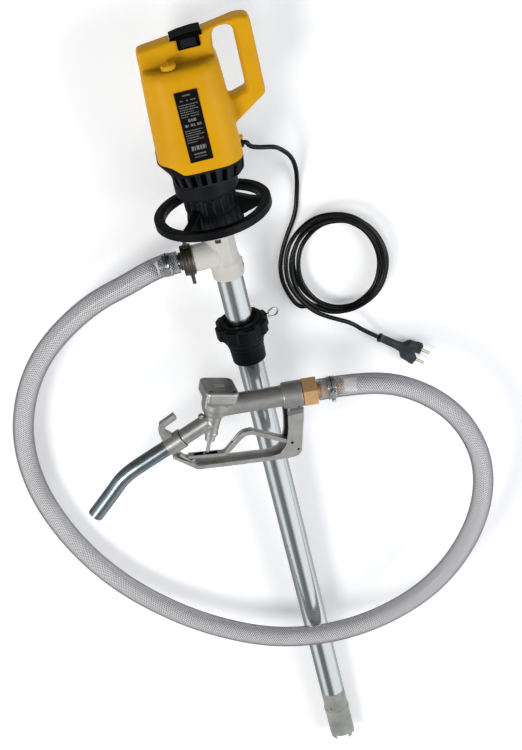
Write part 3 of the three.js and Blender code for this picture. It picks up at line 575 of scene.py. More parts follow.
TUBE = material("aluminium_tube", (0.70, 0.735, 0.75), (0.62, 0.66, 0.675), rough=0.17,
                vary=0.06, metal=1.0, scale=60, stretch=(1, 1, 0.03), bump=0.05,
                bump_scale=1600, bump_stretch=(1, 1, 0.02))
CAST = material("cast_aluminium", (0.43, 0.42, 0.405), (0.345, 0.337, 0.324), vary=0.06,
                metal=0.82, scale=55, bump=0.22, bump_scale=1900, ridge_tint=(0.58, 0.57, 0.55),
                hollow_tint=(0.09, 0.086, 0.082))
# A lighter copy of the cast aluminium for the parts that catch more light: painted light on the
# cover, gland nut, guard, lever and latch.
CAST_LIT = material("cast_aluminium_lit", (0.54, 0.53, 0.51), (0.445, 0.435, 0.418),
                       vary=0.07, metal=0.82, scale=55, bump=0.18, bump_scale=1900,
                       ridge_tint=(0.78, 0.77, 0.75), hollow_tint=(0.18, 0.17, 0.165))
SPOUT = material("spout_steel", (0.27, 0.32, 0.34), (0.20, 0.24, 0.26), rough=0.32, vary=0.06,
                 metal=1.0, scale=45, bump=0.04, bump_scale=1500)
STEEL = material("steel", (0.60, 0.615, 0.63), (0.48, 0.49, 0.51), rough=0.26, metal=1.0,
                 scale=120, bump=0.06, bump_scale=1500)
ZINC = material("zinc_steel", (0.66, 0.68, 0.69), (0.50, 0.53, 0.55), rough=0.22, metal=1.0,
                scale=160, bump=0.08, bump_scale=1400, ridge_tint=(0.85, 0.86, 0.87),
                ridge_from=0.58, hollow_tint=(0.12, 0.12, 0.12))
NICKEL = material("nickel_bronze", (0.175, 0.145, 0.125), (0.115, 0.093, 0.08), rough=0.34,
                  vary=0.07, metal=1.0, scale=60, bump=0.12, bump_scale=1400,
                  ridge_tint=(0.42, 0.37, 0.33), ridge_from=0.57, hollow_tint=(0.04, 0.033, 0.03))
BRASS = material("brass", (0.80, 0.505, 0.245), (0.70, 0.42, 0.185), rough=0.34, vary=0.07,
                 metal=0.65, scale=50, bump_scale=1500, ridge_tint=(0.82, 0.60, 0.32),
                 ridge_from=0.57, hollow_tint=(0.22, 0.10, 0.035))
TAIL = material("hose_tail_metal", (0.24, 0.23, 0.235), (0.14, 0.135, 0.14), rough=0.30,
                metal=1.0, scale=90, bump_scale=1500, ridge_tint=(0.6, 0.6, 0.6), ridge_from=0.57)
CABLE = material("cable_rubber", (0.003, 0.0032, 0.0036), (0.002, 0.002, 0.0023), rough=0.24,
                 vary=0.07, scale=60, bump=0.06, bump_scale=700, specular=0.22)
PLUG = material("plug_rubber", (0.050, 0.062, 0.068), (0.034, 0.043, 0.048), rough=0.42,
                vary=0.07, scale=60, bump_scale=1300, ridge_tint=(0.05, 0.06, 0.066),
                ridge_from=0.57, specular=0.22)
PRONG = material("plug_pin_metal", (0.66, 0.60, 0.52), (0.54, 0.49, 0.43), rough=0.32,
                 vary=0.05, metal=0.6, scale=90, bump=0.03, bump_scale=1500)
SHAFT = material("ground_steel", (0.62, 0.63, 0.64), (0.52, 0.53, 0.54), rough=0.2, vary=0.05,
                 metal=1.0, scale=90, stretch=(1, 1, 0.1), bump=0.04, bump_scale=1500)
LAMINATED = material("laminated_steel", (0.16, 0.165, 0.17), (0.09, 0.095, 0.1), rough=0.45,
                     metal=0.9, scale=900, stretch=(0.02, 0.02, 1), bump=0.2,
                     bump_stretch=(0.02, 0.02, 1))
COPPER = material("copper", (0.62, 0.27, 0.13), (0.48, 0.19, 0.09), rough=0.3, vary=0.06,
                  metal=1.0, scale=90, bump=0.06, bump_scale=1500)
CARBON = material("carbon", (0.02, 0.02, 0.02), (0.012, 0.012, 0.012), rough=0.7, scale=120,
                  bump=0.2, bump_scale=2500)
SEAL = material("seal_rubber", (0.02, 0.02, 0.02), (0.013, 0.013, 0.013), rough=0.6,
                scale=120, bump=0.12, bump_scale=1500)
# Near black for the shade in slots, holes and pockets: painted shade.
PAINTED_SHADE = material("painted_shade_black", (0.0022, 0.0022, 0.0024), (0.0012, 0.0012, 0.0013), rough=0.7,
                scale=120, bump=0.12, bump_scale=1500, specular=0.03)
WEB = material("grey_band", (0.30, 0.31, 0.315), (0.22, 0.23, 0.235), vary=0.07, metal=0.9,
               scale=90, bump=0.2, bump_scale=1500)
HOSE = hose_material("hose_vinyl", tint=(0.80, 0.79, 0.81), edge=(0.22, 0.19, 0.225),
                     face_alpha=0.05, edge_alpha=0.85)
LINER = hose_material("hose_liner", tint=(0.215, 0.205, 0.225), edge=(0.19, 0.17, 0.20),
                      face_alpha=0.80, edge_alpha=0.92, rough=0.5)
BRAID = material("hose_braid", (0.97, 0.97, 0.98), (0.90, 0.895, 0.91), rough=0.5, scale=200,
                 bump=0.2, bump_scale=2500)

# Inner CAD parts that keep their meshes and only take a material.
INNER_PARTS = (
    (STEEL, "inner_guide_tube pump_rotor shaft_bearing motor_bearing_lower "
            "motor_bearing_upper valve_spring"),
    (WHITE, "lower_shaft_bush upper_shaft_bush"),
    (SHAFT, "drive_shaft motor_shaft"),
    (BLACK, "driven_coupling cooling_fan drive_coupling"),
    (SEAL, "shaft_seal"),
    (LAMINATED, "stator_core armature_core"),
    (COPPER, "commutator"),
    (CARBON, "brush_left brush_right"),
    (CAST, "bearing_bracket"),
)
for look, names in INNER_PARTS:
    for name in names.split():
        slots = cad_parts[name].data.materials
        slots.clear()
        slots.append(look)

# ------------------------------------------------------------------ immersion tube and foot
# Here and below, lathe profiles are (radius, z[, corner radius]).
tube_lo, tube_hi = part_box("outer_tube")
TUBE_R = tube_hi[0] / MM
TUBE_WALL = 1.5
tube = ring(TUBE_R - TUBE_WALL, TUBE_R, tube_lo[2] / MM, tube_hi[2] / MM, 128, corner=0.4)
piece(tube, "drawn_tube", TUBE, "pump_tube", "aluminium_tube", "outer_tube")
MARK_PATH = np.array([[-3.2, -20.07, 903.8], [-0.5, -20.31, 905.4], [2.4, -20.18, 906.0],
                      [4.4, -19.84, 905.6]])
mark = sweep(MARK_PATH, [0.25, 0.45, 0.45, 0.22], 10)
stain = material("tube_stain", (0.30, 0.26, 0.20), (0.2, 0.17, 0.13), rough=0.5, scale=300)
piece(mark, "tube_mark", stain, "pump_tube", "aluminium_tube")

foot = lathe([(17.3, 0), (21.25, 0), (21.25, 56), (21.4, 59, 1), (22.15, 60.2), (22.15, 64.8),
              (21.2, 66.2), (20.6, 66.6, 1), (20.5, 105.5), (18.6, 105.7), (18.6, 126),
              (16.3, 126), (16.3, 82), (17.3, 78)], 96)
# notches in the lower rim and one slit higher up
cut(foot, box(-12, 8, -25, -10, -1, 8), box(-8, 8, 10, 25, -1, 8), box(-25, -10, -5, 5, -1, 6),
    box(-25, -15, -0.9, 0.9, 70, 78.2, turn(58)), box(14, 25, -3.2, 3.2, -1, 4.5, turn(-36)))
hub = lathe([(4.7, 78.5), (12.6, 78.5), (13, 79), (13, 100), (10.35, 100), (10.35, 81.5),
             (4.7, 81.5)], 48, corner=0.3)
spokes = [box(12, 17.6, -1.5, 1.5, 84, 96, turn(a)) for a in (30, 150, 270)]
raised_lines = [ring(21.2, 21.55, 30.2, 31.0, 96, corner=0.1),
                ring(20.4, 20.85, 97.5, 98.3, 96, corner=0.1)]
foot = join([foot, hub] + spokes + raised_lines)
piece(foot, "strainer_foot", FOOT, "pump_tube", "foot_plastic", "suction_foot")

# ------------------------------------------------------------------ outlet housing
OUTLET_Z = 997
BRANCH = frame_at((0, 0, OUTLET_Z), (-1, 0, 0), (0, 0, 1))
parts = [
    lathe([(0, 956.4), (23.4, 956.2, 1.2), (24.3, 958, 1), (24.4, 980, 3), (22.6, 985.5, 3),
           (21.4, 992, 6), (21.1, 1036), (21.1, 1046.2), (28.8, 1046.2), (28.9, 1051.8),
           (21, 1051.8), (20.4, 1060.8), (0, 1060.8)], 96),
    lathe([(0, 0), (22.5, 8), (22.3, 15, 2), (20.8, 25, 6), (20.5, 31), (20.5, 45.5),
           (18.7, 45.6, 0.1), (18.7, 56), (0, 56)], 96, BRANCH)]
parts += [box(20.6, 22.2, -1.1, 1.1, 986, 1035, turn(a)) for a in (-62, 62, 180)]
# thread turns on the branch
parts += [ring(18.2, 19.1, 47.5 + 2.1 * k, 48.4 + 2.1 * k, 64, BRANCH, 0.1) for k in range(4)]
housing = soften(join(parts), voxel=0.9, rounds=4)
cut(housing, rod(20.85, 950, 972.3, 64), rod(17.6, 960, 1013, 64), rod(14.2, 10, 60, 64, BRANCH),
    rod(10.35, 1010, 1018.4, 32), rod(8.2, 1017, 1021, 32), rod(13.9, 1019.5, 1041, 48),
    rod(16.8, 1040.4, 1065, 48), box(-8.5, 0.5, -25, -17.5, 1021, 1027))
shade(housing, 40)
piece(housing, "outlet_body", WHITE, "pump_tube", "white_plastic", "outlet_housing")
recess = prism_xz(round_rect(-8.1, 0.1, 1021.4, 1026.6, 0.8), -19.3, -17.4)
brown = material("recess_brown", (0.05, 0.04, 0.02), (0.03, 0.024, 0.012), rough=0.6)
piece(recess, "housing_recess", brown, "pump_tube", "seal_rubber")
clip = join([box(23.0, 25.0, -2.6, 2.6, 962, 981), box(22.6, 25.6, -3.4, 3.4, 967.5, 971.5)])
clip = soften(clip, voxel=0.35, rounds=3)
cut(clip, rod(24.35, 950, 990, 64))
shade(clip, 40)
piece(clip, "housing_clip", NICKEL, "pump_tube", "zinc_steel")

# ------------------------------------------------------------------ union nut and hose tail
parts = [lathe([(19.2, 46.0), (22.6, 46.0), (23.3, 47.0), (23.4, 52), (22.9, 52.6), (22.9, 57.2),
                (23.4, 57.8), (23.3, 61.8), (22.6, 62.8), (14.6, 62.8), (14.6, 60.4),
                (19.2, 60.4)], 96, BRANCH)]
for s in (-1, 1):
    wing = prism([(22.3 * s, -4), (22.3 * s, 4), (30 * s, 3.7), (40.7 * s, 3.7),
                  (40.7 * s, -3.7), (30 * s, -3.7)], 50.2, 55.8, BRANCH)
    root = prism([(21.8 * s, -6.2), (21.8 * s, 6.2), (25.2 * s, 4.4), (25.2 * s, -4.4)],
                 48.6, 57.4, BRANCH)
    parts += [bevel(wing, 1.1, 3), bevel(root, 0.8, 2)]
piece(join(parts), "wing_nut", NICKEL, "union_nut", "nickel_bronze", "union_nut")

profile = [(9.5, 58.2), (18, 58.2), (18, 60), (13.9, 60), (13.9, 67), (11.4, 67)]
for i in range(6):
    z = 70 + i * 4.9
    profile += [(10.6, z, 0.1), (12.2, z + 0.5, 0.1), (11.0, z + 3.6, 0.3)]
profile += [(10.7, 99.4), (9.5, 99.4)]
piece(lathe(profile, 64, BRANCH, 0.25), "barbed_tail", TAIL, "pump_tube", "steel",
      "outlet_hose_tail")

# ------------------------------------------------------------------ hose
# Stations (x, y, z) along the centre line, from the outlet to the nozzle.
HOSE_STATIONS = [
    (-68.3, 0, 997), (-80, 0, 997), (-92, 0, 997), (-105, 0, 997), (-118, 2.2, 991.8),
    (-137.2, 6.2, 982.6), (-160, 9.5, 973.6), (-194.6, 13.5, 963.2), (-249.4, 20.8, 932.9),
    (-305, 27.7, 888), (-346, 31.6, 833.5), (-376.4, 34.6, 762), (-387.1, 34.3, 691.5),
    (-382.2, 32.1, 620.5), (-362.3, 28.2, 546.5), (-333.7, 20.9, 484.8), (-292.4, 11.8, 424.4),
    (-246.6, 1, 377.7), (-195.5, -12.3, 339.2), (-134.1, -26.9, 306.4), (-74, -37.4, 283.8),
    (-4.7, -42.5, 269.7), (60.2, -43.9, 268.4), (124.4, -44.5, 280.4), (190.5, -45.4, 308.9),
    (243.7, -46.6, 352.1), (289.5, -48.5, 415.2), (316.1, -51, 484.7), (321.3, -53.8, 560.8),
    (298.7, -57.1, 639.4), (257.9, -60.3, 697), (200.9, -63.7, 739.4), (133.3, -66, 757.3),
    (111.4, -66, 759.3), (90, -66, 761.3)]
HOSE_R, HOSE_BORE = 16.75, 12.9
PINCH, PINCH_WIDTH = 0.55, 3.5  # depth and spread of the squeeze under each clamp
path, lengths = resample(catmull(HOSE_STATIONS, 16), 3.0)
relax(path, 9, 12, rounds=70)
radii = HOSE_R - sum(PINCH * np.exp(-(away / PINCH_WIDTH) ** 2)
                     for away in (lengths - 17, lengths[-1] - 19 - lengths))
piece(sweep(path, radii, 48, HOSE_BORE), "hose_wall", HOSE, "pump_tube", "hose",
      "delivery_hose", angle=60)
lengths = arc_lengths(path)
middle = path[(lengths >= 36) & (lengths <= lengths[-1] - 62)]
piece(sweep(middle, 13.9, 40, bore=13.1), "hose_liner", LINER, "pump_tube", "hose", angle=60,
      weighted=False)

THREADS, LEAD = 17, 62  # threads in each family, and length of one turn
THREAD_WIDTH, THREAD_THICK, THREAD_STEP = 0.98, 0.36, 3.2


def braid(path, radius, sign):
    """One family of braid threads: flat ribbons wound one way round the path."""
    s = arc_lengths(path)
    at = np.arange(1.5, s[-1] - 1.5, THREAD_STEP)
    centre, tangent, normal, binormal = (interpolate(at, s, v)
                                         for v in (path, *transport(path)))
    # Threads are narrower near both ends of the hose.
    width = np.clip((np.minimum(at, s[-1] - at) - 34) / 14, 0, 1) * 0.6 + 0.4
    slope = math.atan2(2 * PI * radius, LEAD)
    wide, thick = THREAD_WIDTH / 2, THREAD_THICK / 2
    m = len(at)
    verts, faces = [], []
    for c in range(THREADS):
        phase = sign * at / LEAD * 2 * PI + c * 2 * PI / THREADS
        edges = []
        for out, side in ((thick, -wide), (thick, wide), (-thick, wide), (-thick, -wide)):
            a = phase + side * width * math.cos(slope) / radius
            slide = -sign * side * width * math.sin(slope)
            edges.append(centre + tangent * slide[:, None] + (radius + out)
                         * (np.cos(a)[:, None] * normal + np.sin(a)[:, None] * binormal))
        verts.append(np.stack(edges, 1).reshape(-1, 3))
        base = c * 4 * m
        last = base + (m - 1) * 4
        faces += tube_faces(m, 4, base)
        faces += [(base, base + 3, base + 2, base + 1), (last, last + 1, last + 2, last + 3)]
    return mesh_object("threads", (np.concatenate(verts) * MM).tolist(), faces)


for name, radius, sign in (("right", 14.75, 1), ("left", 14.3, -1)):
    piece(braid(path, radius, sign), "hose_braid_" + name, BRAID, "pump_tube", "hose", angle=80)


# ------------------------------------------------------------------ hose clamps
def thread(start, stop, root, crest, land):
    """Profile of thread turns between two heights; land is the width of the crest."""
    points = []
    for z in np.arange(start, stop, 1.25):
        points += [(root, z, 0.05), (crest, z + 0.35, 0.05), (crest, z + 0.35 + land, 0.05),
                   (root, z + 0.7 + land, 0.05)]
    return points


def clamp(end, place):
    """Worm-drive clamp round the place's z axis, with its screw on the local -y side."""
    r = 16.8
    band = lathe([(r + 0.25, -5.6), (r + 1.0, -6.1), (r + 1.25, -5.5), (r + 1.05, -4.9),
                  (r + 1.05, 4.9), (r + 1.25, 5.5), (r + 1.0, 6.1), (r + 0.25, 5.6)],
                 96, place, 0.2)
    outward = move(r + 1.0, 0, 0) @ Matrix.Rotation(PI / 2, 4, "Y")
    # dark strips where the band's slots are: painted shade in the slots
    slots = [box(-0.55, 0.55, -3.1, 3.1, 0, 0.5, place @ turn(a) @ outward)
             for a in range(-60, 240, 9)]
    saddle = prism([(-7.4, -r - 2.6), (7.4, -r - 2.6), (8.4, -r - 0.9), (5, -r - 0.4),
                    (0, -r - 0.35), (-5, -r - 0.4), (-8.4, -r - 0.9)], -6.0, 6.0, place)
    worm = prism([(-7, -r - 2.2), (-7, -r - 6.4), (-5.2, -r - 8.3), (5.2, -r - 8.3),
                  (7, -r - 6.4), (7, -r - 2.2)], -4.9, 4.9, place)
    bevel(saddle, 0.5, 2)
    bevel(worm, 0.8, 3)
    axis = place @ move(0, -r - 4.8, 0) @ ALONG_X
    cut(worm, rod(2.9, -8.5, 8.5, 32, axis))
    name = "clamp_band_" + end
    piece(join([band, saddle, worm]), name, ZINC, "pump_tube", "zinc_steel",
          end + "_hose_clamp")
    piece(join(slots), name + "_slot_shade", PAINTED_SHADE, "pump_tube", "zinc_steel")
    shank = lathe([(0, -9)] + thread(-8.6, 6.6, root=2.0, crest=2.5, land=0.2)
                  + [(2.4, 7.4), (0, 7.4)], 32, axis, 0.1)
    head = bevel(prism(hexagon(3.7), 7.5, 11.5, axis), 0.45, 2)
    cut(head, box(-5, 5, -0.5, 0.5, 10.4, 12, axis))
    collar = rod(3.5, 7.0, 7.8, 32, axis, 0.1)
    screw = end + "_clamp_screw"
    piece(join([shank, head, collar]), "clamp_worm_" + end, ZINC, screw, "zinc_steel", screw)


NOZZLE_Y = -66
INLET_TILT = math.radians(5.2)
INLET_AXIS = Vector((math.cos(INLET_TILT), 0, -math.sin(INLET_TILT)))
INLET_ORIGIN = Vector((-40, NOZZLE_Y, 773.1))
clamp("outlet", frame_at((-86, 0, OUTLET_Z), (-1, 0, 0), (0, 0, 1)))
clamp("nozzle", frame_at(INLET_ORIGIN + INLET_AXIS * 151, INLET_AXIS, (0, 0, 1)) @ turn(180))

# ------------------------------------------------------------------ bung adapter and eye screw
BUNG_BORE = 20.95
parts = [lathe([(BUNG_BORE, 807), (25.6, 807), (26.1, 808, 0.8), (27.2, 833), (28.5, 834.6),
                (29.2, 842.5), (31.4, 843.8), (31.6, 845), (31.6, 852), (36.4, 852.2),
                (38, 856), (38, 872), (36, 877.5, 2), (33, 878.8), (26.5, 878.8, 1.5),
                (25, 874.5, 2), (BUNG_BORE, 874)], 96, corner=0.6)]
LOBE = [(33, -11.5), (38.4, -9.5), (41.2, -6.4), (41.4, 0), (41.2, 6.4), (38.4, 9.5), (33, 11.5)]
parts += [prism(LOBE, 855.5, 875.0, turn(k * 45 + 15)) for k in range(8)]
parts += [ring(31.2, 32.1, 845.2 + k * 1.7, 846.0 + k * 1.7, 96, corner=0.15) for k in range(4)]
parts.append(ring(25.4, 26.15, 808.5, 809.3, 96, corner=0.1))
EYE = frame_at((0, 0, 868), (math.cos(PI / 12), math.sin(PI / 12), 0), (0, 0, 1))
bung = carved(parts, 0.75, 3, rod(BUNG_BORE, 800, 885, 96), rod(3.4, 15, 46, 32, EYE))
piece(bung, "bung_collar", BLACK, "bung_adapter", "black_plastic", "bung_adapter")
shank = lathe([(0, 21.4)] + thread(22.0, 43, root=2.6, crest=3.0, land=0.25)
              + [(2.6, 44), (1.9, 45.4), (0, 45.4)], 32, EYE, 0.1)
# The eye is one turn with its ends slightly apart, in a plane turned about the shank.
EYE_R = 8.4
loop = [EYE @ Vector((0, 0, 43.5))]
for i in range(49):
    t = PI - 0.35 + (i / 48) * PI * 1.93
    side, up = EYE_R * math.sin(t), 0.9 * (i / 48 - 0.5)
    loop.append(EYE @ Vector((side * 0.94 + up * 0.34, side * 0.341 - up * 0.94,
                              53.2 + EYE_R * math.cos(t))))
piece(join([shank, sweep(resample(loop, 0.5)[0], 1.55, 20)]), "eye_bolt", ZINC, "eye_screw",
      "zinc_steel", "clamp_eye_screw", angle=50)

# ------------------------------------------------------------------ handwheel
RIBS = [turn(i * 18 + 4) for i in range(20)]
rim = lathe([(73.0, 1061.5), (75.0, 1060), (86.8, 1060), (88, 1061.4, 0.8), (88, 1072.2, 0.8),
             (86.9, 1073.9, 0.8), (78.2, 1073.9, 0.5), (77.0, 1071.4, 0.5),
             (72.6, 1071.2, 0.6)], 192, corner=0.8)
parts = [lathe([(22.8, 1040.2), (41.2, 1040.2), (36.6, 1071.8), (38.4, 1073.5, 0.5), (38.4, 1076),
                (37.2, 1098.8), (33, 1098.8), (33, 1046), (22.8, 1046)], 128, corner=0.4)]
parts += [bevel(box(36.8, 38.9, -1.6, 1.6, 1075.5, 1098.4, at), 0.4, 1) for at in RIBS]
parts += [prism_xz([(35, 1042), (43.2, 1041.5), (43.0, 1046), (38.4, 1071), (35, 1071)],
                   -1.2, 1.2, at) for at in RIBS]
for a in (-127, -4, 114):  # spokes: an upright web under a wider strip
    parts.append(prism_xz([(35, 1050), (40, 1050), (74.5, 1061.5), (76, 1069.5), (60, 1074),
                           (35, 1086)], -3.5, 3.5, turn(a)))
    parts.append(prism_xz([(36, 1083.2), (60, 1072.3), (76, 1068.8), (76, 1070.9),
                           (60, 1075.2), (36, 1086.8)], -6.2, 6.2, turn(a)))
wheel = join([carved(parts, 0.8, 2, rod(33.0, 1046, 1101, 96)), rim])
panel = lathe([(40.9, 1042), (41.8, 1042), (37.3, 1071), (36.4, 1071)], 128, corner=0.2)
piece(panel, "hub_skirt_panel", BAND, "handwheel", "black_plastic")
# Lighter strips on the outer faces of the ribs: painted highlights.
edges = join([bevel(box(38.2, 39.2, -0.7, 0.7, 1076.5, 1097.6, at), 0.2, 1) for at in RIBS])
rib_highlight = material("rib_painted_highlight", (0.020, 0.024, 0.029), (0.012, 0.0145, 0.018), scale=60,
                    specular=0.2)
piece(edges, "hub_rib_highlights", rib_highlight, "handwheel", "black_plastic")
piece(wheel, "hand_wheel_body", BLACK, "handwheel", "black_plastic", "handwheel")

# ------------------------------------------------------------------ motor flange and vent base
flange = lathe([(21.6, 1052.4), (32, 1052.4), (32, 1101.5), (43.5, 1101.5), (46.4, 1103.2, 1.5),
                (47, 1106, 1.5), (47, 1123.9, 0.8), (14.6, 1124), (14.6, 1107.5), (9, 1107.5),
                (9, 1101), (21.6, 1096)], 128)
piece(flange, "motor_band", BAND, "motor", "black_plastic", "motor_flange")

vent = rect_loft([(1124.4, -44.5, 56, 46.5, 40), (1126, -45.4, 57, 47.6, 40),
                  (1130, -46, 60, 49.4, 40), (1149.5, -47.5, 62, 53, 36),
                  (1150.7, -46.9, 61.4, 52.4, 36)], 12)
cut(vent, rect_loft([(1127.3, -40.5, 52, 42.5, 36), (1131, -41.5, 56, 45, 36),
                     (1152, -43.5, 58, 49, 32)], 12), rod(17, 1120, 1130, 64))
VENT_SLOTS = 22
cut(vent, join([bevel(box(34, 80, -4.2, 4.2, 1128.4, 1149.2, turn(i * 360 / VENT_SLOTS + 6)),
                      0.8, 2) for i in range(VENT_SLOTS)]))
piece(bevel(vent, 0.4, 2, 40), "vent_ring", BAND, "motor", "black_plastic", "vent_base")
# black edge that follows the chamfered lower corner of the casing
edge = rect_loft([(1147.0, -48.4, 61, 52.4, 34), (1151.6, -50.4, 61, 52.9, 34),
                  (1154.0, -52.6, 61, 53.0, 34), (1166.0, -60.6, 61, 53.3, 34),
                  (1168.6, -61.2, 61, 53.2, 34)], 12)
cut(edge, rect_loft([(1146.5, -43.0, 57, 48, 32), (1151.2, -45.0, 57, 49, 32),
                     (1169.5, -57.4, 57.5, 50.6, 33)], 12))
piece(edge, "casing_edge", BLACK, "motor", "black_plastic")
# dark sheet behind the slots: painted shade seen through them
vent_shade = rect_loft([(1129, -39, 50.5, 41, 34), (1149, -40.5, 55, 46, 30)], 12)
cut(vent_shade, rect_loft([(1128, -37.5, 49, 39.5, 33), (1150, -39, 53.5, 44.5, 29)], 12))
piece(vent_shade, "vent_slot_shade", PAINTED_SHADE, "motor", "black_plastic")

# ------------------------------------------------------------------ motor casing
CABLE_AXIS = frame_at((0, 0, 1158.6), (1, 0, 0))
stations = [(1151.2, -46, 62.2, 54.5, 34), (1154, -48.6, 62.2, 54.8, 34.5),
            (1169, -59.8, 62.1, 56, 36), (1206, -58.2, 61.3, 56, 36),
            (1244, -56.2, 60.3, 56, 36), (1270, -54.8, 59.3, 55.4, 36),
            (1285, -53.8, 58.6, 54.6, 35)]
for k in range(1, 9):  # rounded shoulder
    t = k / 8 * PI / 2
    d = 8.5 * (1 - math.cos(t))
    stations.append((1285 + 18.2 * math.sin(t), -53.8 + d * 0.75, 58.6 - d * 0.75, 54.6 - d,
                     35 - d * 0.75))
casing = rect_loft(stations, 16)
# recess in the -Y side of the shoulder: (z, x0, x1, y0, y1, corner radius)
DISH = ((1300.6, -33, 38, -33, -17.5, 7), (1302.0, -38, 43, -39.5, -12, 12),
        (1304.5, -42, 47, -45, -8, 16), (1312, -44, 49, -47, -6, 18))
cut(casing, loft([[(x, y, z) for x, y in round_rect(*rect, 10)] for z, *rect in DISH]))
# handle side view, points (x, z, corner radius)
handle_outline = rounded([
    (-52, 1285, 0), (-52, 1318, 4), (-50.5, 1331.5, 9), (0, 1337, 30), (50, 1341.5, 30),
    (92, 1348.3, 22), (113.3, 1346, 24), (113.3, 1286, 0), (113.3, 1229, 12), (58, 1192, 4),
    (40, 1200, 0), (40, 1285, 0)], 4, 8)
grip_hole = rounded([(54.5, 1305, 6), (58, 1339.5, 15), (87.5, 1338, 13), (87.5, 1242, 6),
                     (60.5, 1234.5, 6), (56.5, 1262, 20)], 6, 8)
HANDLE_HALF, HANDLE_ROUND = 16, 6.0
levels = []
for k in range(5):
    t = k / 4 * PI / 2
    levels.append((-HANDLE_HALF + HANDLE_ROUND * (1 - math.cos(t)),
                   HANDLE_ROUND * (1 - math.sin(t))))
handle = inset_loft(handle_outline, levels + [(-y, inset) for y, inset in levels[::-1]])
# The cutter flares at both ends, to round the rims of the grip opening as well.
flare = [(-18, -8), (-15.2, -4.5), (-13.2, -2.2), (-10.6, -0.6), (-8, 0)]
cut(handle, inset_loft(grip_hole, flare + [(-y, inset) for y, inset in flare[::-1]]))
cavity = rect_loft([(1150, -42.5, 58.4, 51, 31), (1169, -56, 58.3, 52, 33),
                    (1244, -52.6, 56.6, 52, 33), (1288, -49.6, 54.8, 50, 32),
                    (1297.5, -46, 51, 42, 27)])
casing = join([casing, handle, box(58, 67.5, -5, 5, 1165.5, 1170.5)])
casing = soften(casing, voxel=1.3, rounds=5)
cut(casing, cavity, box(-2.3, 44.3, -25, 25, 1335, 1352), box(8.0, 38.0, -25, -8.6, 1319.6, 1340),
    box(-2.3, 44.3, -9, 20, 1318, 1345), box(8, 38, -9, 9, 1290, 1325),
    rod(3.5, 1285, 1310, 32, move(-12, -32, 0)), rod(6, 50, 72, 32, CABLE_AXIS))
shade(casing, 38)
piece(casing, "motor_casing", YELLOW, "motor", "yellow_housing", "motor_shell")

# ------------------------------------------------------------------ label
plate = bevel(prism_xz(round_rect(-14, 19, 1170, 1276, 1.2, 4), -56.86, -56.3), 0.12, 1)
piece(plate, "label_plate", LABEL, "motor", "label", "rating_label")
# rows of bars standing for text: (z, spans in x, height)
LABEL_ROWS = [
    (1270, [(-3, 8)], 2.0), (1262.5, [(-8, -3), (1, 3), (7, 14)], 1.6), (1256.5, [(-11, 16)], 1.2),
    (1253, [(-11, 12)], 1.2), (1249.5, [(-11, 15)], 1.2), (1246, [(-11, 9)], 1.2),
    (1242.5, [(-11, 14)], 1.2), (1239, [(-11, -1), (2, 15)], 1.2), (1233, [(-3, 8)], 4.2),
    (1225.5, [(-9, -4), (-1, 5), (8, 14)], 3.6), (1218, [(-11, 14)], 1.2),
    (1214.5, [(-11, 10)], 1.2), (1211, [(-11, 15)], 1.2), (1207.5, [(-11, 7)], 1.2),
    (1204, [(-11, 13)], 1.2), (1200.5, [(-11, 2)], 1.2), (1191, [(-8, 13)], 6.5),
    (1182, [(-6, 11)], 2.2), (1177.5, [(-6, 11)], 1.2)]
BAR_WIDTHS = (1.9, 1.2, 2.4, 1.5)
bars = []
for z, spans, height in LABEL_ROWS:
    stretch, gap = (1, 0.7) if height < 3 else (1.7, 1.0)
    for x, end in spans:
        k = 0
        while x < end - 0.6:
            width = min(BAR_WIDTHS[k % 4] * stretch, end - x)
            bars.append(box(x, x + width, -57.0, -56.8, z - height / 2, z + height / 2))
            x += width + gap
            k += 1
piece(join(bars), "label_bars", MARK, "motor", "label")

# ------------------------------------------------------------------ speed knob
KNOB = move(-12, -32, 0)
knob = lathe([(0, 1294.5), (3, 1294.5), (3, 1303.4), (10.3, 1303.4), (10.5, 1309, 0.8),
              (9.6, 1311.0, 1.2), (0, 1311.0)], 64, KNOB)
ribs = [box(9.9, 10.75, -0.5, 0.5, 1304.2, 1309, KNOB @ turn(i * 15)) for i in range(24)]
bar = bevel(box(-1.4, 1.4, -8.6, 8.6, 1310.8, 1312.8, KNOB), 0.6, 2)
piece(join([knob, bar] + ribs), "speed_dial", YELLOW, "speed_knob", "yellow_housing",
      "speed_knob")

# ------------------------------------------------------------------ switch block in the handle
cover = bevel(prism_xz([(-1.8, 1335.4), (43.8, 1335.4), (43.8, 1342.2), (30, 1342.5),
                        (12, 1341.2), (-1.8, 1338.6)], -18.4, 18.4), 1.6, 3)
tub = bevel(box(8.6, 37.4, -17.2, 16.4, 1320.2, 1337), 0.8, 2)
cut(tub, box(10.2, 35.9, -21, -9, 1321.2, 1334.8))
parts = [cover, tub, box(-1.7, 43.7, -8.5, 16.4, 1318.5, 1337),
         box(8.5, 37.5, -8.5, 8.5, 1300, 1319)]
for lip in ([(6.6, 1321.5), (8.8, 1319.4), (10.4, 1321.5), (10.4, 1336), (6.6, 1336)],
            [(35.8, 1321.5), (37.4, 1319.4), (39.4, 1323.5), (39.4, 1336), (35.8, 1336)]):
    parts.append(bevel(prism_xz(lip, -18.6, -15.6), 0.5, 2))
piece(join(parts), "switch_block", GLOSS, "motor", "black_gloss", "switch_frame")
KEY = move(22.7, -10.8, 0)
parts = [bevel(prism(half, 1321.6, 1334.4, KEY), 0.7, 3) for half in (
    [(-11.4, -1.4), (-0.6, -1.4), (-0.6, -4.6), (-11.4, -6.0)],
    [(0.6, -1.4), (11.4, -1.4), (11.4, -6.8), (0.6, -5.2)])]
parts.append(box(-1.2, 1.2, -5.0, -1.6, 1321.8, 1334.2, KEY))
piece(join(parts), "rocker_key", ROCKER, "rocker", "black_gloss", "rocker_switch")

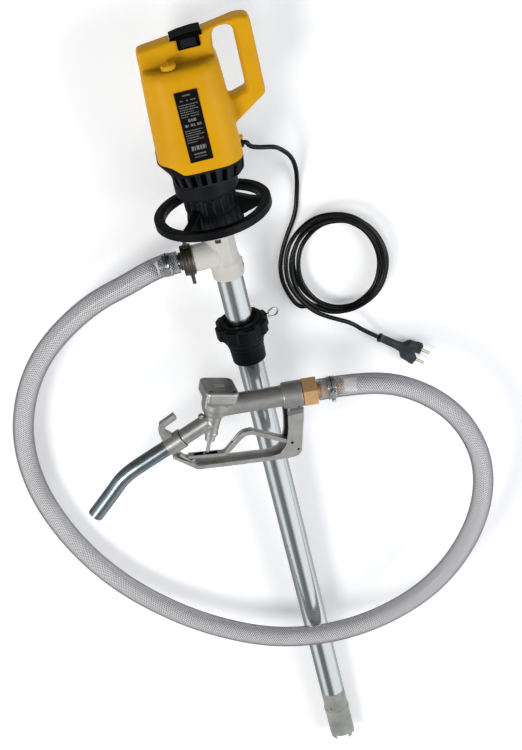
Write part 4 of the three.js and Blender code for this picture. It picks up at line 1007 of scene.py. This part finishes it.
# ------------------------------------------------------------------ mains cable and plug
# Stations (x, y, z) from inside the motor, through the coil, to the plug.
CABLE_STATIONS = [
    (50, 0, 1158.6), (58, 0, 1158.6), (67.5, 0, 1158.2), (70.5, 0.5, 1157.2),
    (74.4, 3.2, 1149.3), (86.8, 11.6, 1140.4), (107.8, 23.6, 1130.5), (116.9, 37.6, 1119.4),
    (127.7, 51.9, 1102.5), (134.2, 65.1, 1084.1), (136.2, 75.5, 1062.7), (134.5, 82.2, 1042.1),
    (129.2, 83.5, 1017), (123.1, 82.1, 996.1), (115.5, 81, 980), (102.5, 79.7, 959.1),
    (87.4, 77.8, 930.1), (79.1, 75.8, 900.4), (81.5, 73.7, 867.4), (96.6, 71.5, 834.7),
    (115.7, 71.1, 831.7), (170, 68.7, 808.4), (222.7, 69.2, 829.9), (246.1, 71.8, 883.5),
    (229.4, 74.6, 940.3), (183.3, 75.7, 971.4), (132.1, 74.3, 962.5), (101.7, 70.5, 918.9),
    (107.8, 66, 863.4), (146.9, 62.6, 825.1), (197.8, 61.6, 824.6), (233.1, 63.2, 861.9),
    (234.9, 65.8, 916.1), (204, 67.7, 958.2), (157.2, 67.3, 967.4), (118.3, 64.6, 939.6),
    (106.4, 60.4, 889.3), (127.3, 56.5, 842.6), (169.3, 54.4, 823.7), (212.2, 54.7, 843.3),
    (232.5, 57, 892.1), (218.6, 59.5, 944.7), (176.9, 60.6, 974.3), (128.1, 59.1, 965.5),
    (97.1, 55.4, 922.1), (100.9, 50.8, 865.5), (139.6, 47.3, 825.9), (193.9, 46.4, 826.2),
    (233.5, 48.2, 867.5), (236.9, 51.2, 928), (202.4, 53.5, 976), (147.9, 53.3, 987.3),
    (101, 50.3, 955.6), (86.5, 45.5, 896.1), (114.1, 40.9, 839.1), (169.7, 43.2, 797.8),
    (183.7, 47.7, 780.5), (195.4, 52.5, 767.2), (207.8, 57.3, 753.8), (210.9, 57.2, 751.2)]
path = resample(catmull(CABLE_STATIONS, 10), 2.5)[0]
relax(path, 12, 2, rounds=4)
piece(sweep(path, 3.55, 20), "mains_cable", CABLE, "motor", "cable_rubber", "power_cable",
      angle=60)
relief = lathe([(4.2, 56), (5.6, 56), (5.6, 62.6), (7, 63.0), (7, 64.6), (6.2, 65.2),
                (6.4, 65.9), (4.3, 66)], 48, CABLE_AXIS, 0.25)
piece(relief, "strain_relief", CABLE, "motor", "cable_rubber", "cable_grommet")

PLUG_START, PLUG_END = Vector((207.8, 57.3, 753.8)), Vector((256.3, 55.1, 713.5))
PLUG_AXIS = frame_at(PLUG_START, PLUG_END - PLUG_START)
PRONGS = [(name, PLUG_AXIS @ move(0, 9.5 * s, 0)) for name, s in (("a", -1), ("b", 1))]
sleeve = lathe([(0, 0.5), (6.6, 0.6), (7.5, 1.6), (7.5, 4.2), (6.8, 5.2), (6.2, 7.0), (6.6, 14),
                (6.9, 36), (0, 44)], 64, PLUG_AXIS)
body = rect_loft([(32, -6.4, 6.4, 6.6, 5.6), (42, -7.0, 7.0, 8.0, 6.0),
                  (45, -7.4, 7.4, 10.4, 6.2), (48, -7.9, 7.9, 14.4, 6.4),
                  (50.5, -8.2, 8.2, 16.6, 6.6), (60, -8.4, 8.4, 17.8, 6.8),
                  (66, -8.4, 8.4, 18.2, 6.8)], place=PLUG_AXIS)
flange = rect_loft([(63.4, -8.2, 8.2, 18.0, 6.8), (64.4, -8.9, 8.9, 19.2, 7.2),
                    (72.2, -8.9, 8.9, 19.4, 7.4), (73, -8.5, 8.5, 18.8, 7.2)], place=PLUG_AXIS)
cutters = [rod(2.9, 62, 75, 32, at) for _, at in PRONGS]
cutters += [rod(3.9, -1, 8, 32, PLUG_AXIS), box(-10, 10, -3.6, 3.6, 65.0, 75, PLUG_AXIS)]
cutters += [box(*xs, *ys, 62.5, 75, PLUG_AXIS) for ys in ((11, 16), (-16, -11))
            for xs in ((-10, -6.4), (6.4, 10))]
plug = carved([sleeve, body, flange], 0.5, 3, *cutters)
piece(plug, "plug_moulding", PLUG, "motor", "cable_rubber", "plug_body")
grips = [bevel(box(-8.95, -7.9, y - 0.9, y + 0.9, 51, 60, PLUG_AXIS), 0.3, 1) if False else
         bevel(box(-8.95, -7.9, -0.9, 0.9, 51, 60, PLUG_AXIS @ move(0, y, 0)), 0.3, 1)
         for y in (-4.5, -1.5, 1.5, 4.5)]
grips += [rod(0.9, -7.0, -6.2, 16, PLUG_AXIS @ move(0, 0, z) @ ALONG_X) for z in (14, 28)]
piece(join(grips), "plug_grip_marks", PLUG, "motor", "cable_rubber")
for name, at in PRONGS:
    prong = lathe([(0, 60.5), (2.4, 60.5), (2.4, 89, 0.6), (1.9, 91, 1.2), (0, 92)], 32, at, 0.4)
    piece(prong, "plug_prong_" + name, PRONG, "motor", "zinc_steel", "plug_pin_" + name)

# ------------------------------------------------------------------ nozzle casting
# Three axes: the hose inlet towards +X, the valve with its cover on top, the spout towards -X.
INLET = frame_at(INLET_ORIGIN, INLET_AXIS)
VALVE_TILT, SPOUT_TILT = math.radians(21.7), math.radians(22.2)
VALVE = frame_at((-54.5, NOZZLE_Y, 810.7), (math.sin(VALVE_TILT), 0, math.cos(VALVE_TILT)),
                 (math.cos(VALVE_TILT), 0.158, -math.sin(VALVE_TILT)))
SPOUT_AXIS = Vector((-math.cos(SPOUT_TILT), 0, -math.sin(SPOUT_TILT)))
SPOUT_ORIGIN = Vector((-70, NOZZLE_Y, 760.2))
OUTFLOW = frame_at(SPOUT_ORIGIN, SPOUT_AXIS)
parts = [
    lathe([(0, -22), (16.4, -22), (16.4, 68), (16.4, 75), (0, 75)], 96, INLET, 0.4),
    lathe([(0, 70), (19.4, 74.6), (20.5, 76.6), (20.5, 104.5), (19.9, 105.4), (0, 105.4)],
          96, INLET, 0.6),
    prism(round_rect(-26.2, 26.2, -26.2, 26.2, 9, 8), -17.5, -6.3, VALVE),
    rect_loft([(-27, -20.0, 20.0, 20.0, 15), (-24, -22.0, 22.0, 22.0, 13),
               (-18.5, -25.0, 25.0, 25.0, 10), (-17, -25.6, 25.6, 25.6, 9.4)], place=VALVE),
    lathe([(0, -51.5), (12.6, -51.5, 1), (17.4, -48.2, 3), (20.6, -42.5, 3), (21.6, -38, 2),
           (22.0, -36.8, 0.3), (22.6, -36.2, 0.3), (22.9, -18), (0, -18)], 96, VALVE),
    lathe([(0, 0), (8.4, 0), (8.8, 10, 1), (11.0, 12.4, 1), (12.9, 15.5, 2), (12.9, 63.8),
           (0, 63.8)], 96, OUTFLOW, 0.4),
    lathe([(0, -86), (10.2, -86), (11.1, -85.2), (11.1, -82.2), (10.2, -81.4), (11.3, -62),
           (12.2, -57), (12.8, -48), (0, -48)], 96, VALVE, 0.4),
    box(38.5, 62.5, NOZZLE_Y - 8, NOZZLE_Y + 8, 735.9, 756),
    lathe([(0, -4), (4.4, -4), (4.4, 16.2, 1.2), (3.4, 17.4, 1), (0, 17.5)], 32,
          frame_at((-88.5, NOZZLE_Y, 752.5), (-0.378, 0, 0.926))),
]
casting = carved(parts, 0.65, 2, rod(14.6, 90, 107, 64, INLET), rod(10.5, 0, 91, 48, INLET),
                 rod(13.6, -44, -5, 64, VALVE), rod(9.6, -54, -43, 48, VALVE),
                 rod(3.5, -80, -50, 32, VALVE), rod(6, -87, -76, 32, VALVE),
                 rod(9.6, 6, 66, 48, OUTFLOW))
piece(casting, "nozzle_casting", CAST, "nozzle", "cast_aluminium", "nozzle_body")
# Thin rings and a corner post in the lighter casting colour, standing for bright lines: painted
# highlights.
highlight_lines = [ring(16.3, 16.9, 71.4, 72.8, 96, INLET, 0.2),
         rod(1.5, -26, 0.3, 24, VALVE @ move(-24.2, -24.2, 0), 0.4),
         ring(19.6, 20.0, -44.6, -43.9, 96, VALVE, 0.1)]
piece(join(highlight_lines), "casting_highlight_lines", CAST_LIT, "nozzle", "cast_aluminium")

# ------------------------------------------------------------------ valve cover, gland and stem
COVER_SCREWS = [VALVE @ move(18.6 * x, 18.6 * y, 0) for x, y in ((-1, -1), (1, -1), (1, 1), (-1, 1))]
cover = rect_loft([(z, -half, half, half, r) for z, half, r in (
    (-6.0, 25.9, 9.0), (-5.6, 26.4, 9.2), (-2.4, 26.4, 9.2), (-1.6, 26.0, 9.0),
    (-0.5, 24.5, 8.1), (0, 23.5, 7.7))], place=VALVE)
cut(cover, *[rod(3.4, -3.4, 1, 32, at) for at in COVER_SCREWS])
gasket = prism(round_rect(-25.75, 25.75, -25.75, 25.75, 9.0, 8), -6.5, -5.9, VALVE)
piece(gasket, "cover_gasket", SEAL, "nozzle", "seal_rubber")
parts = [cover, ring(11.2, 11.9, -0.1, 0.22, 96, VALVE, 0.1)]
parts += [bevel(box(-7.5, 7.5, -0.5 + y, 0.5 + y, -0.1, 0.2, VALVE), 0.1, 1) for y in (-3, 0, 3)]
piece(join(parts), "valve_cover", CAST_LIT, "nozzle", "cast_aluminium", "valve_cap")
for letter, at in zip("abcd", COVER_SCREWS):
    screw = cut(rod(2.85, -3.1, -0.3, 32, at), prism(hexagon(1.45), -1.9, 0.5, at))
    piece(screw, "socket_screw_" + letter, ZINC, "nozzle", "zinc_steel", "cap_screw_" + letter)
gland = lathe([(3.5, -98.2), (7.0, -98.2), (7.8, -97.4), (8.4, -89.5), (9.3, -88.8), (9.3, -86.6),
               (5.6, -86.5), (5.6, -76.5), (3.5, -76.5)], 64, VALVE, 0.4)
piece(gland, "gland_nut", CAST_LIT, "nozzle", "cast_aluminium", "packing_nut")
stem = lathe([(0, -120.4), (2.2, -120.4), (3, -119.5), (3, -43.6), (12.1, -43.6), (12.2, -40.6),
              (4, -38.6), (0, -38.6)], 48, VALVE, 0.3)
piece(stem, "valve_rod", STEEL, "valve", "steel", "valve_stem")


# ------------------------------------------------------------------ collar with hook, and spout
def nozzle_plate(outline, half):
    """Plate over an (x, z) outline, half to each side of the nozzle's middle plane."""
    return prism_xz(outline, NOZZLE_Y - half, NOZZLE_Y + half)


COLLAR_BORE = 12.95
collar = lathe([(COLLAR_BORE, 64.5), (14.8, 64.5), (15.5, 65.3), (15.5, 91.7), (14.9, 92.5),
                (COLLAR_BORE, 92.5)], 96, OUTFLOW, 0.3)
hook = rounded([(-160.5, 738, 0), (-163.2, 757, 9), (-158.6, 770.8, 2.5), (-133.8, 782.2, 0.6),
                (-130.6, 773.4, 0.6), (-151.2, 764, 5), (-153.2, 757, 3), (-144.6, 747.5, 1),
                (-144.6, 740, 0)], 1, 4)
hook = bevel(nozzle_plate(hook, 5), 0.9, 2, 50)
cut(hook, rod(COLLAR_BORE, 60, 100, 96, OUTFLOW, 0))
piece(join([collar, hook]), "spout_sleeve", CAST, "nozzle", "cast_aluminium", "spout_collar")
# straight along the outflow axis, then bent down through (x, z)
stations = [SPOUT_ORIGIN + SPOUT_AXIS * t for t in (66, 80, 96)]
stations += [(x, NOZZLE_Y, z) for x, z in ((-191, 711), (-221, 698.2), (-239, 687.2),
                                           (-256, 670.9), (-275.5, 652.6), (-295.3, 634.2))]
path = resample(catmull(stations, 12), 3)[0]
relax(path, 8, 3, rounds=5)
piece(sweep(path, 12.25, 64, bore=10.9), "bent_spout", SPOUT, "nozzle", "steel", "spout",
      angle=50)

# ------------------------------------------------------------------ trigger guard
# A channel: a -Y wall, a taller +Y wall and a floor along the outer edge.
# Outlines are (x, z, corner radius); both walls share the outer edge.
PIVOT = frame_at((32.4, NOZZLE_Y, 683.1), (0, 1, 0), (1, 0, 0))
OUTER_EDGE = [(62.4, 747.5, 0), (59.4, 724, 4), (51.2, 691.4, 6), (44.6, 664.5, 6),
              (37.5, 657.2, 5), (26, 656.4, 4), (-11.2, 660.6, 3), (-117.7, 675.9, 2),
              (-122.4, 678.2, 2), (-152.6, 707.2, 0.6), (-151.2, 711.0, 0.6)]
front = rounded([(38.4, 747.5, 0)] + OUTER_EDGE + [
    (-128.0, 691.6, 1), (-117, 682.6, 2), (-6.3, 667.6, 6), (10.5, 668.4, 8),
    (22.6, 680.1, 10), (31.2, 707, 12), (36.2, 735.6, 0)], 2, 6)
back = rounded([(30.6, 747.5, 0)] + OUTER_EDGE + [
    (-128.0, 697.0, 1), (-116, 690.0, 2), (-8, 673.6, 6), (8, 677, 8), (18.4, 688, 10),
    (24.8, 707, 12), (28.4, 727, 8)], 2, 6)
floor_outer = [(61.4, 735.7), (59.0, 724)] + [point[:2] for point in OUTER_EDGE[2:10]]
floor_inner = [(58.6, 735.7), (56.3, 724.4), (48.6, 692), (42.2, 666.2), (36.6, 660.2),
               (26, 659.4), (-11, 663.5), (-117, 678.8), (-120.8, 680.6), (-150.6, 709.4)]
parts = [prism_xz(front, NOZZLE_Y - 8, NOZZLE_Y - 6.3),
         prism_xz(back, NOZZLE_Y + 6.3, NOZZLE_Y + 8),
         nozzle_plate(floor_outer + floor_inner[::-1], 7.8),
         box(36, 61, NOZZLE_Y - 7.6, NOZZLE_Y + 7.6, 731.5, 736),
         rod(4.6, -7.8, -4.9, 32, PIVOT), rod(4.6, 6.0, 7.8, 32, PIVOT)]
guard = carved(parts, 0.5, 2, rod(2.3, -9, 9, 32, PIVOT))
piece(guard, "guard_channel", CAST_LIT, "nozzle", "cast_aluminium", "trigger_guard")
# Dark sheet on the inner face of the +Y wall: painted shade.
inner_face = prism_xz([(31.4, 746), (39.5, 746), (37.0, 733), (33.0, 707), (27, 684),
                       (21.5, 686.5), (26.6, 707), (30.0, 727)], NOZZLE_Y + 5.9, NOZZLE_Y + 6.5)
inner_shade_look = material("painted_shade_casting", (0.030, 0.029, 0.028), (0.018, 0.0175, 0.017), rough=0.5,
                  metal=0.3, scale=60, specular=0.1)
piece(inner_face, "guard_inner_shade", inner_shade_look, "nozzle", "cast_aluminium")
band = prism_xz([(37.4, 741.0), (61.6, 740.2), (60.0, 732.8), (35.9, 732.6)],
                NOZZLE_Y - 8.3, NOZZLE_Y - 7.6)
piece(bevel(band, 0.1, 1), "guard_band", WEB, "nozzle", "cast_aluminium")
# Dark disks on the front wall at the holes: painted shade.
hole_shade = [rod(1.9, 7.5, 8.22, 24, frame_at((x, NOZZLE_Y, z), (0, -1, 0), (1, 0, 0)), 0.1)
        for x, z in ((55.2, 745.2), (32.4, 683.1), (40.0, 669.0))]
piece(join(hole_shade), "guard_hole_shade", PAINTED_SHADE, "nozzle", "cast_aluminium")
piece(rod(2, -7.8, 7.8, 32, PIVOT), "pivot_pin", ZINC, "nozzle", "zinc_steel", "trigger_pin")

# ------------------------------------------------------------------ trigger lever and latch
lever = nozzle_plate(rounded([
    (-129, 703.1, 1), (-76, 693.6, 4), (-71, 695.5, 4), (-47, 716.6, 12), (-37.5, 721.6, 10),
    (-25, 721.4, 10), (26, 689.8, 2), (32, 689.2, 3), (37.4, 686.5, 3), (38.2, 682, 3),
    (35.6, 678, 3), (30.6, 677.3, 3), (24.5, 682.6, 2), (-25, 714.0, 8), (-34.5, 714.2, 8),
    (-43, 709.5, 8), (-68.5, 689.2, 4), (-74, 687.4, 4), (-129.3, 698.3, 1)], 2, 5), 5.8)
end_slot = rounded([(-119, 690, 0), (-122, 709, 0), (-106, 706, 0), (-106, 688, 0)], 1, 2)
long_slot = [(-103, 688), (-103, 705), (-84, 702), (-84, 684)]
top_groove = [(-60, 712.0), (-47, 723), (-38, 727), (-25, 727), (22, 697), (20, 690.8),
              (-25, 719.0), (-37, 719.2), (-46, 714.6), (-58, 704.4)]
cut(lever, nozzle_plate(end_slot, 4.2), nozzle_plate(long_slot, 4.2),
    nozzle_plate(top_groove, 3.0), rod(2.3, -7, 7, 32, PIVOT))
# Dark boxes in the bottoms of the lever's slots: painted shade.
slot_shade = [box(x0, x1, NOZZLE_Y - 4.1, NOZZLE_Y + 4.1, z0, z1) for x0, x1, z0, z1 in (
    (-120.4, -106.2, 696.2, 699.6), (-102.8, -84.2, 692.6, 695.4))]
piece(join(slot_shade), "lever_slot_shade", PAINTED_SHADE, "trigger", "cast_aluminium")
piece(bevel(lever, 0.8, 3, 40), "squeeze_lever", CAST_LIT, "trigger", "cast_aluminium",
      "trigger_lever")
latch = rounded([(-142, 708.5, 0.8), (-139.4, 709.4, 0.8), (-127.6, 693.2, 1.5),
                 (-120.4, 695.4, 0.8), (-119.6, 693, 0.8), (-128.4, 689.9, 2),
                 (-142, 705.5, 0.8)], 0.8, 3)
piece(bevel(nozzle_plate(latch, 4.5), 0.3, 1, 50), "latch_spring", CAST_LIT, "latch",
      "cast_aluminium", "hold_open_latch")

# ------------------------------------------------------------------ brass hose connector
nut = prism(rounded(hexagon(24.2, PI / 6), 0.8), 106.2, 128.4, INLET)
bevel(nut, 1.2, 2, 50)
stub = rod(14.1, 92.2, 107, 64, INLET)
profile = [(0, 128), (13.6, 128, 0.2), (13.6, 130.2, 0.2), (11, 130.4, 0.1)]
for i in range(7):
    z = 133 + i * 5.2
    profile += [(10.6, z, 0.1), (12.3, z + 0.6, 0.1), (12.2, z + 1.4, 0.1), (10.9, z + 3.6, 0.3)]
profile += [(10.8, 171), (0, 171)]
barb = lathe(profile, 64, INLET, 0.2)
connector = join([cut(part, rod(9, 90, 175, 48, INLET)) for part in (nut, stub, barb)])
piece(connector, "brass_fitting", BRASS, "pump_tube", "brass", "brass_hose_connector", angle=40)

# ------------------------------------------------------------------ table (metres from here on)
TABLE_HALF = 3.2
table_centre = Vector((0, 21.5 + 66 * 0.7, 700)) * MM
across, along = Vector((1, 0, 0)), Vector((0, 66, 1010)).normalized()
corners = [tuple(table_centre + across * a * TABLE_HALF + along * b * TABLE_HALF)
           for a, b in ((-1, -1), (1, -1), (1, 1), (-1, 1))]
table = mesh_object("table", corners, [(0, 1, 2, 3)])
table_white, tree, shader = new_material("table_white")
coords = add_node(tree, "TexCoord").outputs["Object"]
set_inputs(tree, shader, {
    "Roughness": 0.8,
    "Specular IOR Level": 0.0,
    "Emission Color": (1, 1, 1, 1),
    "Emission Strength": 0.24,
    "Base Color": color_ramp(tree, noise(tree, coords, 1.2),
                             [(0.0, (0.93, 0.935, 0.945)), (1.0, (0.95, 0.95, 0.955))])})
# The table is clear when seen from behind.
behind = add_node(tree, "NewGeometry").outputs["Backfacing"]
clear = add_node(tree, "BsdfTransparent").outputs[0]
surface = mix_shaders(tree, behind, shader.outputs[0], clear)
set_inputs(tree, tree.nodes["Material Output"], {"Surface": surface})
table.data.materials.append(table_white)
table.visible_glossy = False

# ------------------------------------------------------------------ world
# Reflections see bright and dark strips, diffuse light a soft dome, the camera plain white.
scene = bpy.context.scene
world = bpy.data.worlds.new("studio")
scene.world = world
world.use_nodes = True
tree = world.node_tree
tree.nodes.clear()
output = add_node(tree, "OutputWorld")
coords = add_node(tree, "TexCoord").outputs["Generated"]
east, north, height = add_node(tree, "SeparateXYZ", {0: coords}).outputs


def calculate(operation, a, b):
    return add_node(tree, "Math", {0: a, 1: b}, operation=operation).outputs[0]


def background(color):
    return add_node(tree, "Background", {"Color": color, "Strength": 1.0}).outputs[0]


# (azimuth in degrees, brightness); 0 is towards -Y, the viewer, and +90 towards +X
STRIPS = [(-180, 0.42), (-128, 0.30), (-100, 0.34), (-86, 0.95), (-58, 1.00), (-44, 0.24),
          (-6, 0.17), (6, 0.62), (16, 1.02), (95, 1.05), (112, 0.62), (150, 0.50), (180, 0.42)]
azimuth = calculate("ARCTAN2", east, calculate("MULTIPLY", north, -1.0))
turn_part = calculate("ADD", calculate("DIVIDE", azimuth, 2 * PI), 0.5)
strips = color_ramp(tree, turn_part, [((a + 180) / 360, (v * 0.97, v * 0.995, v))
                                      for a, v in STRIPS])
dimming = map_range(tree, height, 0.0, 0.85, 1.0, 0.18)  # darker towards the zenith
dimming = add_node(tree, "CombineColor", {i: dimming for i in range(3)}).outputs[0]
reflected = background(mix_colors(tree, 1.0, strips, dimming, "MULTIPLY"))
rise = calculate("ADD", calculate("MULTIPLY", height, 0.5), 0.5)
ambient = background(color_ramp(tree, rise, [(0.45, (0.50, 0.51, 0.53)),
                                             (0.95, (0.05, 0.05, 0.055))]))
backdrop = background((0.97, 0.972, 0.98, 1))
rays = add_node(tree, "LightPath").outputs
surface = mix_shaders(tree, rays["Is Glossy Ray"], ambient, reflected)
surface = mix_shaders(tree, rays["Is Camera Ray"], surface, backdrop)
set_inputs(tree, output, {"Surface": surface})

# ------------------------------------------------------------------ lights
LIGHT_TARGET = Vector((0, 0, 0.75))


def disk_light(name, away, size, power, color):
    """Disk lamp at away from the target, aimed at it."""
    lamp = bpy.data.lights.new(name, "AREA")
    lamp.shape = "DISK"
    lamp.size = size
    lamp.energy = power
    lamp.color = color
    obj = bpy.data.objects.new(name, lamp)
    scene.collection.objects.link(obj)
    obj.location = LIGHT_TARGET + Vector(away)
    obj.rotation_mode = "QUATERNION"
    aim = LIGHT_TARGET - (LIGHT_TARGET + Vector(away))
    obj.rotation_quaternion = aim.to_track_quat("-Z", "Y")


disk_light("key", away=(-1.75, -2.35, 0.24), size=1.15, power=42, color=(1.0, 0.985, 0.96))
disk_light("fill", away=(2.0, -1.9, -0.1), size=1.7, power=30, color=(0.95, 0.975, 1.0))

# ------------------------------------------------------------------ camera
lens = bpy.data.cameras.new("camera")
lens.lens = 76.8
lens.sensor_width = 36
lens.clip_start = 0.05
lens.clip_end = 50
camera = bpy.data.objects.new("camera", lens)
scene.collection.objects.link(camera)
camera.matrix_world = matrix_of(
    x=(0.9709201, -0.1230125, -0.2053828),
    y=(0.2394038, 0.4988865, 0.8329455),
    z=(0, -0.8578929, 0.5138285),
    origin=Vector((10.509, -2149.873, 2059.281)) * MM)
scene.camera = camera
scene.view_settings.view_transform = "Standard"
scene.view_settings.look = "None"
scene.view_settings.exposure = 0.0
scene.view_settings.gamma = 1.0
